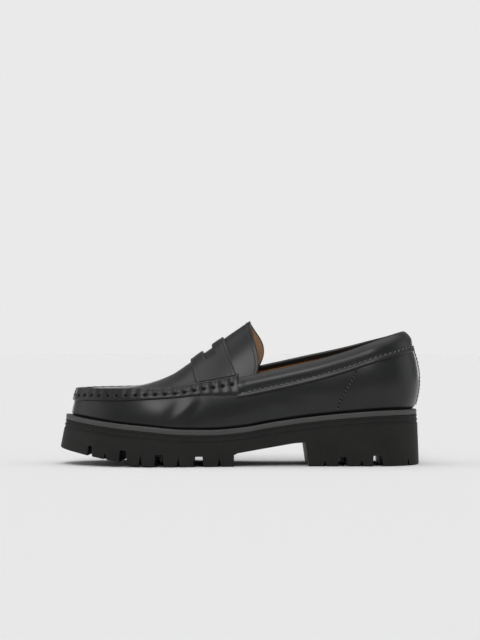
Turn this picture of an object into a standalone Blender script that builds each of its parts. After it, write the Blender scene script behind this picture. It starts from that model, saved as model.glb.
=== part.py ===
"""Chunky lug sole penny loafer, a left shoe in size EU 42.

Frame: toe towards -X, heel towards +X, outer (lateral) side towards -Y, inner (medial) side
towards +Y, up +Z. The floor is z = 0 and the origin lies under the middle of the sole.
Run with: blender --background --python part.py
"""
import math
from collections import namedtuple

import bmesh
import bpy
from mathutils import Vector

# Sole sizes
SOLE_LENGTH = 0.300
BALL_WIDTH = 0.108
HEEL_SEAT_HEIGHT = 0.0460
BALL_HEIGHT = 0.0299
TOE_TIP_HEIGHT = 0.0426
TOE_SPRING = 0.0138
SPRING_SHARE = 0.72
SPRING_POWER = 1.25
STRIP_THICKNESS = 0.0042
STRIP_CHAMFER = 0.0008
HEEL_ROUND = 0.042
TOE_ROUND = 0.080
ROUNDING_POWER = 2.1
HEEL_TAPER = 0.0016
TOE_TAPER = 0.0044
SIDE_TAPER = 0.0020

# Side ribs under the grey strip
RIB_COUNT = 2
RIB_FIRST_DROP = 0.0014
RIB_PITCH = 0.0036
RIB_GROOVE_HEIGHT = 0.0016
RIB_GROOVE_DEPTH = 0.0005

# Heel block, arch and tread
BREAST_SHARE = 0.3167
BREAST_LEAN = 0.0028
BREAST_SKEW = 0.0026
FOREFOOT_SHARE = 0.512
ARCH_FRONT_HEIGHT = 0.0109
ARCH_REAR_HEIGHT = 0.0195
ARCH_REAR_RUN = 0.0090
ARCH_REAR_FALL = 0.0006
ARCH_FRONT_BEVEL = 0.0030
ARCH_FRONT_DROP = 0.0015
GROOVE_TOP_SHARE = 0.82
NOTCH_REACH = 0.0095
NOTCH_TOP_SHARE = 0.15
CHANNEL_SPREAD = 0.017
CHANNEL_WIDTH = 0.0040
CHANNEL_DEPTH = 0.0045
CHANNEL_TOE_SHARE = 0.93
CHANNEL_HEEL_SHARE = 0.075
CHANNEL_OVERRUN_SHARE = 0.02
GUIDE_DEPTH = 0.0050

# Upper sizes
BACK_HEIGHT = 0.0640
INSTEP_ARCH = 0.0413
WALL = 0.0018
LEDGE_TOE = 0.0048
LEDGE_HEEL = 0.0025
LEDGE_SIDE = 0.0035
RIM_BACK_INSET = 0.0120
RIM_TOE_INSET = 0.0142
RIM_HEEL_ROUND = 0.036
RIM_TOE_ROUND = 0.066
BULGE = 0.0079
SWEEP = 0.0080
THROAT_SHARE = 0.56
INSOLE_THICKNESS = 0.0030

# Overlays
STRAP_THICKNESS = 0.00185
STRAP_CLEAR = 0.0004
STRAP_FRONT_SHARE = 0.633
STRAP_REAR_SHARE = 0.527
STRAP_FOOT_FRONT_SHARE = 0.633
STRAP_FOOT_REAR_SHARE = 0.512
SLOT_FRONT_SHARE = 0.39
SLOT_REAR_SHARE = 0.651
SLOT_REACH_SHARE = 0.53
SEAM_THICKNESS = 0.0014
SEAM_DROP = 0.0088
SEAM_LIP = 0.0042
SEAM_EASE = 0.0002
SEAM_END_TOP_SHARE = 0.5055
SEAM_END_FOOT_SHARE = 0.503
BAND_THICKNESS = 0.0012
BAND_DROP = 0.0158
BAND_CLEAR = 0.0012
TONGUE_THICKNESS = 0.0020
TONGUE_END_SHARE = 0.447
TONGUE_OUTER_FLARE_SHARE = 0.0065
TONGUE_OUTER_FOOT_SHARE = 0.0084
TONGUE_INNER_FLARE_SHARE = 0.0255
TONGUE_OUTER_POWER = 4.0
TONGUE_FOOT_POWER = 14
TONGUE_INNER_POWER = 3.1
TONGUE_TUCK = 0.0090
TONGUE_EASE = 0.0010

# Clearance between pieces that meet
GAP = 0.0003

# Fineness
SIDE_STEPS = 36
WALL_STEPS = 7
APRON_STEPS = 10
TONGUE_STEPS = 8
CORRECTION_STEPS = 8
NORMAL_SPAN_SHARE = 0.004

HALF_LENGTH = SOLE_LENGTH / 2
RIM_BACK_X = HALF_LENGTH - RIM_BACK_INSET
RIM_LENGTH = SOLE_LENGTH - RIM_BACK_INSET - RIM_TOE_INSET

# Sections of the sole from heel (at = 0) to toe (at = 1). Half widths and swing are shares of
# BALL_WIDTH, heel_rise and toe_rise shares of the rises above BALL_HEIGHT.
SoleRow = namedtuple("SoleRow", "at outer inner swing heel_rise toe_rise")
SOLE_ROWS = (
    SoleRow(0.000, 0.370, 0.360, 0.000, 1.000, 0.000),
    SoleRow(0.100, 0.370, 0.360, 0.000, 0.963, 0.000),
    SoleRow(0.200, 0.365, 0.350, 0.000, 0.839, 0.000),
    SoleRow(0.300, 0.362, 0.325, 0.000, 0.655, 0.000),
    SoleRow(0.400, 0.372, 0.315, 0.000, 0.404, 0.000),
    SoleRow(0.500, 0.405, 0.345, 0.000, 0.100, 0.000),
    SoleRow(0.575, 0.440, 0.398, 0.000, 0.000, 0.000),
    SoleRow(0.650, 0.477, 0.442, 0.000, 0.000, 0.024),
    SoleRow(0.750, 0.501, 0.494, 0.004, 0.000, 0.224),
    SoleRow(0.850, 0.496, 0.494, 0.014, 0.000, 0.457),
    SoleRow(0.950, 0.462, 0.480, 0.032, 0.000, 0.787),
    SoleRow(1.000, 0.450, 0.470, 0.044, 0.000, 1.000),
)

# Top line of the upper: the collar behind the throat, the apron ridge in front of it. Half
# widths are shares of BALL_WIDTH, rises shares of BACK_HEIGHT, bulge a share of BULGE.
RimRow = namedtuple("RimRow", "at outer inner outer_rise inner_rise bulge")
RIM_ROWS = (
    RimRow(0.00, 0.250, 0.250, 1.000, 1.000, 1.00),
    RimRow(0.05, 0.255, 0.252, 0.939, 0.937, 0.95),
    RimRow(0.10, 0.258, 0.255, 0.878, 0.892, 0.80),
    RimRow(0.20, 0.264, 0.262, 0.762, 0.818, 0.60),
    RimRow(0.30, 0.268, 0.266, 0.688, 0.771, 0.55),
    RimRow(0.40, 0.275, 0.275, 0.649, 0.736, 0.50),
    RimRow(0.50, 0.290, 0.292, 0.632, 0.716, 0.45),
    RimRow(0.60, 0.318, 0.318, 0.588, 0.658, 0.40),
    RimRow(0.70, 0.345, 0.345, 0.508, 0.555, 0.35),
    RimRow(0.80, 0.357, 0.365, 0.449, 0.468, 0.25),
    RimRow(0.90, 0.355, 0.362, 0.398, 0.409, 0.15),
    RimRow(0.95, 0.350, 0.357, 0.370, 0.377, 0.12),
    RimRow(1.00, 0.345, 0.352, 0.338, 0.338, 0.10),
)

# Middle line of the apron, instep and tongue: rise over the edges is a share of INSTEP_ARCH,
# sweep the share of SWEEP by which the middle runs ahead of the edges, fullness the power of
# the arch.
InstepRow = namedtuple("InstepRow", "at rise sweep fullness")
INSTEP_ROWS = (
    InstepRow(0.42, 1.080, 0.98, 2.0),
    InstepRow(0.50, 0.838, 0.87, 2.0),
    InstepRow(0.55, 0.678, 0.75, 2.0),
    InstepRow(0.60, 0.513, 0.68, 2.0),
    InstepRow(0.65, 0.368, 0.56, 2.1),
    InstepRow(0.70, 0.235, 0.38, 2.2),
    InstepRow(0.75, 0.138, 0.25, 2.3),
    InstepRow(0.80, 0.076, 0.12, 2.4),
    InstepRow(0.85, 0.052, 0.05, 2.5),
    InstepRow(0.90, 0.046, 0.00, 2.6),
    InstepRow(0.95, 0.036, 0.00, 2.6),
    InstepRow(1.00, 0.000, 0.00, 2.6),
)

# Moc seam band: drop down the wall and lip over the apron, shares of SEAM_DROP and SEAM_LIP.
SeamRow = namedtuple("SeamRow", "at drop lip")
SEAM_ROWS = (
    SeamRow(0.50, 1.60, 0.45),
    SeamRow(0.60, 1.10, 0.50),
    SeamRow(0.70, 0.86, 0.70),
    SeamRow(0.80, 0.93, 1.00),
    SeamRow(1.00, 1.00, 1.00),
)

# Columns and lines of the overlays, as shares of their half width or of their length.
TONGUE_COLUMNS = (1.0, 0.93, 0.82, 0.68, 0.50, 0.34, 0.17)
STRAP_COLUMNS = (1.0, 0.90, 0.78, 0.66, SLOT_REACH_SHARE, 0.36, 0.18)
STRAP_LINES = (1.0, 0.83, SLOT_REAR_SHARE, 0.51, SLOT_FRONT_SHARE, 0.18, 0.0)
SEAM_WALL_LINES = (1.0, 0.70, 0.40, 0.15, 0.0)
SEAM_LIP_LINES = (0.35, 0.70, 1.0)
BAND_LINES = (1.0, 0.75, 0.50, 0.25, 0.0)

# Grooves right across the tread: at is the share of SOLE_LENGTH from the heel at the outer
# edge, slant the shift towards the heel for each unit of way across the tread.
Groove = namedtuple("Groove", "at width top slant")
GROOVES = (
    Groove(0.123, 0.0087, 0.0086, -0.006),
    Groove(0.219, 0.0080, 0.0076, -0.060),
    Groove(0.611, 0.0082, 0.0084, -0.010),
    Groove(0.717, 0.0077, 0.0100, 0.050),
    Groove(0.815, 0.0067, 0.0135, 0.050),
    Groove(0.908, 0.0043, 0.0164, 0.050),
)
# Pointed notches in both edges of the tread.
NOTCHES = (
    Groove(0.037, 0.0020, 0.0055, 0.0),
    Groove(0.167, 0.0027, 0.0049, 0.0),
    Groove(0.267, 0.0026, 0.0044, 0.0),
    Groove(0.554, 0.0030, 0.0062, 0.0),
    Groove(0.665, 0.0032, 0.0074, 0.0),
    Groove(0.767, 0.0029, 0.0089, 0.0),
    Groove(0.864, 0.0029, 0.0108, 0.0),
)


def read(rows, column, at):
    """Smooth value of a table's column at a share, without overshoot between the rows."""
    spots = [row.at for row in rows]
    values = [getattr(row, column) for row in rows]
    at = min(max(at, spots[0]), spots[-1])
    last = len(rows) - 2
    low = next((i for i in range(last + 1) if at <= spots[i + 1]), last)

    def slope(i):
        if i == 0 or i == len(rows) - 1:
            near = min(max(i - 1, 0), last)
            return (values[near + 1] - values[near]) / (spots[near + 1] - spots[near])
        before = (values[i] - values[i - 1]) / (spots[i] - spots[i - 1])
        after = (values[i + 1] - values[i]) / (spots[i + 1] - spots[i])
        if before * after <= 0:
            return 0.0
        return 2 * before * after / (before + after)

    span = spots[low + 1] - spots[low]
    t = (at - spots[low]) / span
    start = (1 + 2 * t) * (1 - t) ** 2 * values[low] + t * (1 - t) ** 2 * span * slope(low)
    end = t * t * (3 - 2 * t) * values[low + 1] + t * t * (t - 1) * span * slope(low + 1)
    return start + end


def mix(a, b, t):
    return a + (b - a) * t


def rounding(distance, reach):
    """Width share near a rounded end: 0 at the tip, 1 from reach onwards."""
    left = max(0.0, 1 - distance / reach)
    return max(0.0, 1 - left ** ROUNDING_POWER) ** (1 / ROUNDING_POWER)


def ease(q):
    """Share from heel to toe at a place q round the shoe: 0 heel, 1 or -1 toe."""
    q = abs(q)
    if q > 1:
        q = 2 - q
    if q <= 0.5:
        return THROAT_SHARE * (1 - math.cos(math.pi * q))
    return THROAT_SHARE + (1 - THROAT_SHARE) * math.sin(math.pi * (q - 0.5))


def place_of(at, side):
    """Place round the shoe of a share on one side (-1 outer, 1 inner)."""
    if at <= THROAT_SHARE:
        return side * math.acos(1 - at / THROAT_SHARE) / math.pi
    return side * (0.5 + math.asin(min(1.0, (at - THROAT_SHARE) / (1 - THROAT_SHARE))) / math.pi)


def side_of(q):
    """-1 on the outer side, 1 on the inner side, also just past the toe."""
    if q > 1:
        return -1
    if q < -1:
        return 1
    return -1 if q < 0 else 1


def bed_height(x):
    """Top of the grey strip, which carries the upper."""
    at = 0.5 - x / SOLE_LENGTH
    rise = (HEEL_SEAT_HEIGHT - BALL_HEIGHT) * read(SOLE_ROWS, "heel_rise", at)
    rise += (TOE_TIP_HEIGHT - BALL_HEIGHT) * read(SOLE_ROWS, "toe_rise", at)
    return BALL_HEIGHT + rise


def floor_height(x):
    """Bottom of the sole, flat under the ball and heel and sprung at the toe."""
    at = 0.5 - x / SOLE_LENGTH
    past = max(0.0, at - SPRING_SHARE) / (1 - SPRING_SHARE)
    return TOE_SPRING * past ** SPRING_POWER


def sole_outline(q, heel_inset, toe_inset, side_inset):
    """Plan point of the sole's outline, drawn in by the given insets."""
    at = ease(q)
    side = side_of(q)
    length = SOLE_LENGTH - heel_inset - toe_inset
    column = "outer" if side < 0 else "inner"
    half = BALL_WIDTH * read(SOLE_ROWS, column, at) - side_inset
    half *= rounding(at * length, HEEL_ROUND) * rounding((1 - at) * length, TOE_ROUND)
    x = HALF_LENGTH - heel_inset - at * length
    return x, BALL_WIDTH * read(SOLE_ROWS, "swing", at) + side * half


def feather(q):
    """Where the upper's outer face meets the strip."""
    x, y = sole_outline(q, HEEL_TAPER + LEDGE_HEEL, TOE_TAPER + LEDGE_TOE,
                        SIDE_TAPER + LEDGE_SIDE)
    return Vector((x, y, bed_height(x) + GAP))


def rim(q):
    """Top line of the upper: collar at the back, apron ridge at the front."""
    at = ease(q)
    side = side_of(q)
    column = "outer" if side < 0 else "inner"
    x = RIM_BACK_X - at * RIM_LENGTH
    half = BALL_WIDTH * read(RIM_ROWS, column, at)
    half *= rounding(at * RIM_LENGTH, RIM_HEEL_ROUND)
    half *= rounding((1 - at) * RIM_LENGTH, RIM_TOE_ROUND)
    z = bed_height(x) + BACK_HEIGHT * read(RIM_ROWS, column + "_rise", at)
    return Vector((x, BALL_WIDTH * read(SOLE_ROWS, "swing", at) + side * half, z))


def plan_normal(q):
    """Level direction pointing out of the shoe at a place round it."""
    along = feather(q + NORMAL_SPAN_SHARE) - feather(q - NORMAL_SPAN_SHARE)
    return Vector((along.y, -along.x, 0)).normalized()


def shell(q, v):
    """Outer face of the upper's wall: v runs from the strip (0) to the top line (1)."""
    point = mix(feather(q), rim(q), v)
    swell = BULGE * read(RIM_ROWS, "bulge", ease(q)) * 4 * v * (1 - v)
    return point + plan_normal(q) * swell


def below_rim(q, drop):
    """The v of a point this far under the top line."""
    return 1 - drop / (rim(q).z - feather(q).z)


def instep(at, b):
    """Outer face of apron, instep and tongue: b runs from outer edge (-1) to inner edge (1)."""
    outer = rim(place_of(at, -1))
    inner = rim(place_of(at, 1))
    edge = mix(outer, inner, (b + 1) / 2)
    x = edge.x - SWEEP * read(INSTEP_ROWS, "sweep", at) * (1 - b * b)
    crown = INSTEP_ARCH * read(INSTEP_ROWS, "rise", at)
    arch = 1 - abs(b) ** read(INSTEP_ROWS, "fullness", at)
    return Vector((x, edge.y, edge.z + crown * arch))


def instep_above(x, y):
    """Point of the apron over a plan point, found by a few rounds of correction."""
    at = (RIM_BACK_X - x) / RIM_LENGTH
    b = 0.0
    for _ in range(CORRECTION_STEPS):
        at = min(at, 0.9999)
        outer = rim(place_of(at, -1)).y
        inner = rim(place_of(at, 1)).y
        b = min(max((2 * y - outer - inner) / max(inner - outer, 1e-6), -1.0), 1.0)
        sweep = SWEEP * read(INSTEP_ROWS, "sweep", at) * (1 - b * b)
        at = (RIM_BACK_X - x - sweep) / RIM_LENGTH
    return Vector((x, y, instep(min(at, 1.0), b).z))


def both_sides(columns):
    """Columns from the outer edge over the middle to the inner edge."""
    return [-column for column in columns] + [0.0] + list(columns[::-1])


def material(name, colour, roughness):
    made = bpy.data.materials.new(name)
    made.use_nodes = True
    shader = made.node_tree.nodes["Principled BSDF"]
    shader.inputs["Base Color"].default_value = (*colour, 1)
    shader.inputs["Roughness"].default_value = roughness
    shader.inputs["Metallic"].default_value = 0.0
    return made


def add_object(name, bm, finish):
    """Turn a bmesh into a named object with its material."""
    bmesh.ops.remove_doubles(bm, verts=bm.verts, dist=1e-6)
    mesh = bpy.data.meshes.new(name)
    bm.to_mesh(mesh)
    bm.free()
    made = bpy.data.objects.new(name, mesh)
    bpy.context.scene.collection.objects.link(made)
    mesh.materials.append(finish)
    mesh.shade_smooth()
    mesh.set_sharp_from_angle(angle=math.radians(40))
    return made


def sheet(rows, skip=(), closed=False):
    """A bmesh of quads between rows of points, with the cells in skip left open."""
    bm = bmesh.new()
    grid = [[bm.verts.new(point) for point in row] for row in rows]
    count = len(rows[0])
    for j in range(len(rows) - 1):
        for i in range(count if closed else count - 1):
            if (j, i) in skip:
                continue
            k = (i + 1) % count
            bm.faces.new((grid[j][i], grid[j][k], grid[j + 1][k], grid[j + 1][i]))
    return bm, grid


def lift(bm, distance):
    """Move a sheet out along its normals, evenly also over corners."""
    bm.normal_update()
    moves = [(vert, vert.normal * vert.calc_shell_factor() * distance) for vert in bm.verts]
    for vert, move in moves:
        vert.co += move


def thicken(made, thickness, outwards):
    solid = made.modifiers.new("thickness", "SOLIDIFY")
    solid.thickness = thickness
    solid.offset = 1 if outwards else -1
    solid.use_even_offset = True
    solid.use_rim = True


def places():
    """Places round the shoe, from the toe along the outer side and back along the inner."""
    return [i / SIDE_STEPS - 1 for i in range(2 * SIDE_STEPS)]


def plate(name, rings, finish):
    """Closed plate from rings of points, bottom ring first, that go once round the shoe."""
    bm, grid = sheet(rings, closed=True)
    for ring, upward in ((grid[0], False), (grid[-1], True)):
        for k in range(SIDE_STEPS):
            corners = [ring[k], ring[k + 1], ring[-k - 1], ring[(-k) % len(ring)]]
            corners = list(dict.fromkeys(corners))
            if len(corners) > 2:
                bm.faces.new(corners if upward else corners[::-1])
    return add_object(name, bm, finish)


def sole_ring(height_share, lift_from_bed, extra_inset):
    """Ring of the sole's wall. Points hang lift_from_bed under the bed, or lie on the floor
    line where that is None, drawn in by height_share of the taper and by extra_inset."""
    ring = []
    for q in places():
        x, y = sole_outline(q, HEEL_TAPER * height_share + extra_inset,
                            TOE_TAPER * height_share + extra_inset,
                            SIDE_TAPER * height_share + extra_inset)
        z = floor_height(x) if lift_from_bed is None else bed_height(x) - lift_from_bed
        ring.append(Vector((x, y, z)))
    return ring


def prism(bm, profile, y_low, y_high, skew=0.0):
    """Add a closed prism: an XZ profile run from y_low to y_high, shifted by skew in x."""
    near = [bm.verts.new((x, y_low, z)) for x, z in profile]
    far = [bm.verts.new((x + skew, y_high, z)) for x, z in profile]
    bm.faces.new(near)
    bm.faces.new(far[::-1])
    for i in range(len(profile)):
        k = (i + 1) % len(profile)
        bm.faces.new((near[k], near[i], far[i], far[k]))


def sole_x(at):
    return HALF_LENGTH - at * SOLE_LENGTH


def groove_profile(groove, top_share):
    """Profile of a groove: full width below the tread, top_share of it at the top."""
    x = sole_x(groove.at)
    foot = groove.width / 2
    head = foot * top_share
    return [(x - foot, -GUIDE_DEPTH), (x + foot, -GUIDE_DEPTH),
            (x + foot, floor_height(x)), (x + head, groove.top),
            (x - head, groove.top), (x - foot, floor_height(x))]


def tread_cutter():
    """Everything that is missing from the sole's underside, as one hidden guide."""
    bm = bmesh.new()
    reach = BALL_WIDTH
    front = sole_x(FOREFOOT_SHARE)
    breast = sole_x(BREAST_SHARE)
    arch = [(front, -GUIDE_DEPTH), (breast + BREAST_LEAN, -GUIDE_DEPTH),
            (breast + BREAST_LEAN, 0), (breast, ARCH_REAR_HEIGHT),
            (breast - ARCH_REAR_RUN, ARCH_REAR_HEIGHT - ARCH_REAR_FALL),
            (front + ARCH_FRONT_BEVEL, ARCH_FRONT_HEIGHT),
            (front, ARCH_FRONT_HEIGHT - ARCH_FRONT_DROP)]
    prism(bm, arch, -reach, reach, -BREAST_SKEW)
    for groove in GROOVES:
        outer_edge = sole_outline(place_of(groove.at, -1), 0, 0, 0)[1]
        start = groove.slant * (-reach - outer_edge)
        profile = [(x + start, z) for x, z in groove_profile(groove, GROOVE_TOP_SHARE)]
        prism(bm, profile, -reach, reach, groove.slant * 2 * reach)
    for notch in NOTCHES:
        q = place_of(notch.at, -1)
        outer = sole_outline(q, 0, 0, 0)[1] + NOTCH_REACH
        inner = sole_outline(-q, 0, 0, 0)[1] - NOTCH_REACH
        profile = groove_profile(notch, NOTCH_TOP_SHARE)
        prism(bm, profile, -reach, outer)
        prism(bm, profile, inner, reach)
    bmesh.ops.recalc_face_normals(bm, faces=bm.faces)
    return bm


def channel_cutter():
    """Lengthwise channels that part the side lugs from the middle of the tread."""
    bm = bmesh.new()
    spans = ((CHANNEL_TOE_SHARE, FOREFOOT_SHARE - CHANNEL_OVERRUN_SHARE),
             (BREAST_SHARE + CHANNEL_OVERRUN_SHARE, CHANNEL_HEEL_SHARE))
    for toe_end, heel_end in spans:
        start = sole_x(toe_end)
        end = sole_x(heel_end)
        profile = [(start, -GUIDE_DEPTH), (end, -GUIDE_DEPTH),
                   (end, floor_height(end) + CHANNEL_DEPTH)]
        middle = min(sole_x(SPRING_SHARE), end)
        if start < middle:
            profile.append((middle, floor_height(middle) + CHANNEL_DEPTH))
        profile.append((start, floor_height(start) + CHANNEL_DEPTH))
        for y in (-CHANNEL_SPREAD, CHANNEL_SPREAD):
            prism(bm, profile, y - CHANNEL_WIDTH / 2, y + CHANNEL_WIDTH / 2)
    bmesh.ops.recalc_face_normals(bm, faces=bm.faces)
    return bm


def cut(made, name, cutter_mesh, finish):
    """Take a hidden guide away from an object."""
    cutter = add_object(name, cutter_mesh, finish)
    cutter.hide_render = True
    cutter.display_type = "WIRE"
    boolean = made.modifiers.new(name, "BOOLEAN")
    boolean.operation = "DIFFERENCE"
    boolean.solver = "EXACT"
    boolean.object = cutter


def make_outsole(finish):
    top_drop = STRIP_THICKNESS + GAP
    rings = [sole_ring(0.0, None, 0.0)]
    height = BALL_HEIGHT - STRIP_THICKNESS
    for i in reversed(range(RIB_COUNT)):
        drop = RIB_FIRST_DROP + i * RIB_PITCH
        slope = RIB_GROOVE_DEPTH
        steps = ((RIB_GROOVE_HEIGHT + slope, 0), (RIB_GROOVE_HEIGHT, 1), (0, 1), (-slope, 0))
        for down, inward in steps:
            share = 1 - (drop + down) / height
            rings.append(sole_ring(share, top_drop + drop + down, inward * RIB_GROOVE_DEPTH))
    rings.append(sole_ring(1.0, top_drop, 0.0))
    made = plate("outsole", rings, finish)
    cut(made, "tread_cutter", tread_cutter(), finish)
    cut(made, "channel_cutter", channel_cutter(), finish)


def make_midsole(finish):
    rings = [sole_ring(1.0, STRIP_THICKNESS, GAP), sole_ring(1.0, STRIP_CHAMFER, GAP),
             sole_ring(1.0, 0.0, GAP + STRIP_CHAMFER)]
    plate("midsole", rings, finish)


def make_insole(finish):
    """Sock that lies on the strip inside the upper's wall."""
    rings = []
    for height in (GAP, GAP + INSOLE_THICKNESS):
        ring = []
        for q in places():
            point = feather(q) - plan_normal(q) * (WALL + 2 * GAP)
            ring.append(Vector((point.x, point.y, bed_height(point.x) + height)))
        rings.append(ring)
    plate("insole", rings, finish)


def make_upper(finish):
    """Wall all round and apron in front of the throat, as one sheet with the wall's thickness."""
    spots = places()
    rows = [[shell(q, j / WALL_STEPS) for q in spots] for j in range(WALL_STEPS + 1)]
    bm, grid = sheet(rows, closed=True)
    top = grid[-1]
    before = None
    for k in range(1, SIDE_STEPS // 2 + 1):
        at = ease(spots[k])
        row = [top[k]]
        for c in range(1, APRON_STEPS):
            row.append(bm.verts.new(instep(at, 2 * c / APRON_STEPS - 1)))
        row.append(top[-k])
        for c in range(APRON_STEPS):
            if before is None:
                bm.faces.new((row[c], row[c + 1], top[0]))
            else:
                bm.faces.new((row[c], row[c + 1], before[c + 1], before[c]))
        before = row
    made = add_object("upper", bm, finish)
    thicken(made, WALL, False)


def tongue_end(b):
    """Share where the tongue's free edge lies. It flares back on both flanks, and runs forward
    at the foot of the outer one."""
    if b < 0:
        flare = TONGUE_OUTER_FLARE_SHARE * math.sin(math.pi * (-b) ** TONGUE_OUTER_POWER)
        return TONGUE_END_SHARE - flare + TONGUE_OUTER_FOOT_SHARE * b ** TONGUE_FOOT_POWER
    return TONGUE_END_SHARE - TONGUE_INNER_FLARE_SHARE * math.sin(math.pi * b ** TONGUE_INNER_POWER)


def make_tongue(finish):
    """Tongue that carries the apron on behind the throat, tucked inside the collar."""
    across = both_sides(TONGUE_COLUMNS)
    inset = WALL + GAP + TONGUE_EASE
    start = THROAT_SHARE - 2 * GAP / RIM_LENGTH
    rows = []
    for j in range(TONGUE_STEPS + 1):
        tucks = []
        for side in (-1, 1):
            q = place_of(mix(start, tongue_end(side), j / TONGUE_STEPS), side)
            drops = (TONGUE_TUCK, TONGUE_TUCK / 2, 0.0)
            tucks.append([shell(q, below_rim(q, drop)) - plan_normal(q) * inset for drop in drops])
        middle = []
        for b in across:
            point = instep(mix(start, tongue_end(b), j / TONGUE_STEPS), b)
            point.y -= inset * b * abs(b)
            middle.append(point)
        rows.append(tucks[0] + middle + tucks[1][::-1])
    bm, _ = sheet(rows[::-1])
    made = add_object("tongue", bm, finish)
    thicken(made, TONGUE_THICKNESS, False)


def seam_lip(at):
    """How far the moc seam's band reaches over the apron, in plan."""
    return SEAM_LIP * read(SEAM_ROWS, "lip", at)


def strap_point(fraction, c):
    """Face under the strap: fraction from its front (0) to its rear (1), c across it from
    foot (-1) to foot (1), which stand against the moc seam's band."""
    front = mix(STRAP_FRONT_SHARE, STRAP_FOOT_FRONT_SHARE, c * c)
    rear = mix(STRAP_REAR_SHARE, STRAP_FOOT_REAR_SHARE, c * c)
    at = mix(front, rear, fraction)
    half = (rim(place_of(at, 1)).y - rim(place_of(at, -1)).y) / 2
    return instep(at, c * (1 - (seam_lip(at) + STRAP_CLEAR) / half))


def make_strap(finish):
    """Saddle strap over the instep, with its slot."""
    across = both_sides(STRAP_COLUMNS)
    rows = [[strap_point(fraction, c) for c in across] for fraction in STRAP_LINES]
    first = STRAP_COLUMNS.index(SLOT_REACH_SHARE)
    rear = STRAP_LINES.index(SLOT_REAR_SHARE)
    slot_rows = range(rear, STRAP_LINES.index(SLOT_FRONT_SHARE))
    slot = {(j, i) for j in slot_rows for i in range(first, len(across) - 1 - first)}
    bm, _ = sheet(rows, slot)
    lift(bm, GAP)
    made = add_object("saddle_strap", bm, finish)
    thicken(made, STRAP_THICKNESS, True)


def run_of_places(start, toe_way):
    """Places from one side's start to the other's, round the toe or round the heel."""
    edge = place_of(start, 1)
    low, high = (edge, 2 - edge) if toe_way else (-edge, edge)
    spots = [i / SIDE_STEPS for i in range(-SIDE_STEPS, 2 * SIDE_STEPS + 1)]
    spare = 0.6 / SIDE_STEPS
    return [low] + [q for q in spots if low + spare < q < high - spare] + [high]


def seam_end(part):
    """Share where the moc seam's band ends, part of the way down it."""
    return mix(SEAM_END_TOP_SHARE, SEAM_END_FOOT_SHARE, part)


def make_moc_seam(finish):
    """Raised band that folds over the apron's ridge, from behind the strap round the toe."""
    middle = run_of_places(SEAM_END_TOP_SHARE, True)[1:-1]
    rows = []
    for part in SEAM_WALL_LINES:
        edge = place_of(seam_end(part), 1)
        row = []
        for q in [edge] + middle + [2 - edge]:
            drop = SEAM_DROP * read(SEAM_ROWS, "drop", ease(q))
            row.append(shell(q, below_rim(q, drop * part)))
        rows.append(row)
    for part in SEAM_LIP_LINES:
        row = []
        for q in [edge] + middle + [2 - edge]:
            point = rim(q) - plan_normal(q) * seam_lip(ease(q)) * part
            row.append(instep_above(point.x, point.y))
        rows.append(row)
    bm, _ = sheet(rows)
    lift(bm, GAP + SEAM_EASE)
    made = add_object("moc_seam", bm, finish)
    thicken(made, SEAM_THICKNESS, True)


def make_collar_band(finish):
    """Folded band outside and over the rim of the collar, round the heel between the ends of
    the moc seam."""
    clear = BAND_CLEAR / RIM_LENGTH
    middle = run_of_places(SEAM_END_FOOT_SHARE, False)[1:-1]
    rows = []
    for part in BAND_LINES:
        edge = place_of(seam_end(part) - clear, 1)
        spots = [-edge] + middle + [edge]
        rows.append([shell(q, below_rim(q, BAND_DROP * part)) for q in spots])
    rows.append([rim(q) - plan_normal(q) * WALL for q in spots])
    bm, _ = sheet(rows)
    lift(bm, GAP)
    made = add_object("collar_band", bm, finish)
    thicken(made, BAND_THICKNESS, True)


def clear_scene():
    for made in list(bpy.data.objects):
        bpy.data.objects.remove(made, do_unlink=True)


def main():
    clear_scene()
    black_rubber = material("black_rubber", (0.016, 0.016, 0.015), 0.62)
    grey_rubber = material("grey_rubber", (0.055, 0.055, 0.053), 0.50)
    black_leather = material("black_leather", (0.018, 0.019, 0.019), 0.38)
    tan_leather = material("tan_leather", (0.42, 0.25, 0.14), 0.60)
    make_outsole(black_rubber)
    make_midsole(grey_rubber)
    make_insole(tan_leather)
    make_upper(black_leather)
    make_tongue(black_leather)
    make_strap(black_leather)
    make_moc_seam(black_leather)
    make_collar_band(black_leather)


main()
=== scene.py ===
"""Chunky lug sole penny loafer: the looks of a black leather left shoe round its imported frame.

Frame: toe towards -X, heel towards +X, outer (lateral) side towards -Y, inner (medial) side
towards +Y, up +Z, floor at z = 0, everything in metres.
"""
from collections import namedtuple
from math import cos, pi, radians, sin

import bmesh
import bpy
import numpy as np
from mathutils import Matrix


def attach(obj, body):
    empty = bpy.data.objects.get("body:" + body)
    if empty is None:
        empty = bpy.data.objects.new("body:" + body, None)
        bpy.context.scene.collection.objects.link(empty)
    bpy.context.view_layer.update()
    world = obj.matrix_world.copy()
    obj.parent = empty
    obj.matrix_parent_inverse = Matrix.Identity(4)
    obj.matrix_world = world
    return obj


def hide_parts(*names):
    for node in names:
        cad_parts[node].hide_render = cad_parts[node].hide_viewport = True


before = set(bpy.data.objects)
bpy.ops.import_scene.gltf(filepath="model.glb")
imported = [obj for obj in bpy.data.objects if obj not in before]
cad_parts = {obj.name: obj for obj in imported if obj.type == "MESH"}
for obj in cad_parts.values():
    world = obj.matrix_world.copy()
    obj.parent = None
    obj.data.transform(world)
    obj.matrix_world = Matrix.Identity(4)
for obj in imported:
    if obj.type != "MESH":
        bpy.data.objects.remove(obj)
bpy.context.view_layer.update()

# Sole unit. One moulding of black rubber with a heel block, lugs that run right across and two
# fine ribs round its side. It is glued under the grey strip.
SOLE_LENGTH = 0.3
BALL_WIDTH = 0.108
HEEL_SEAT_HEIGHT = 0.046
BALL_HEIGHT = 0.0299
TOE_TIP_HEIGHT = 0.0426
TOE_SPRING = 0.0138
SPRING_SHARE = 0.72
SPRING_POWER = 1.25
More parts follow.
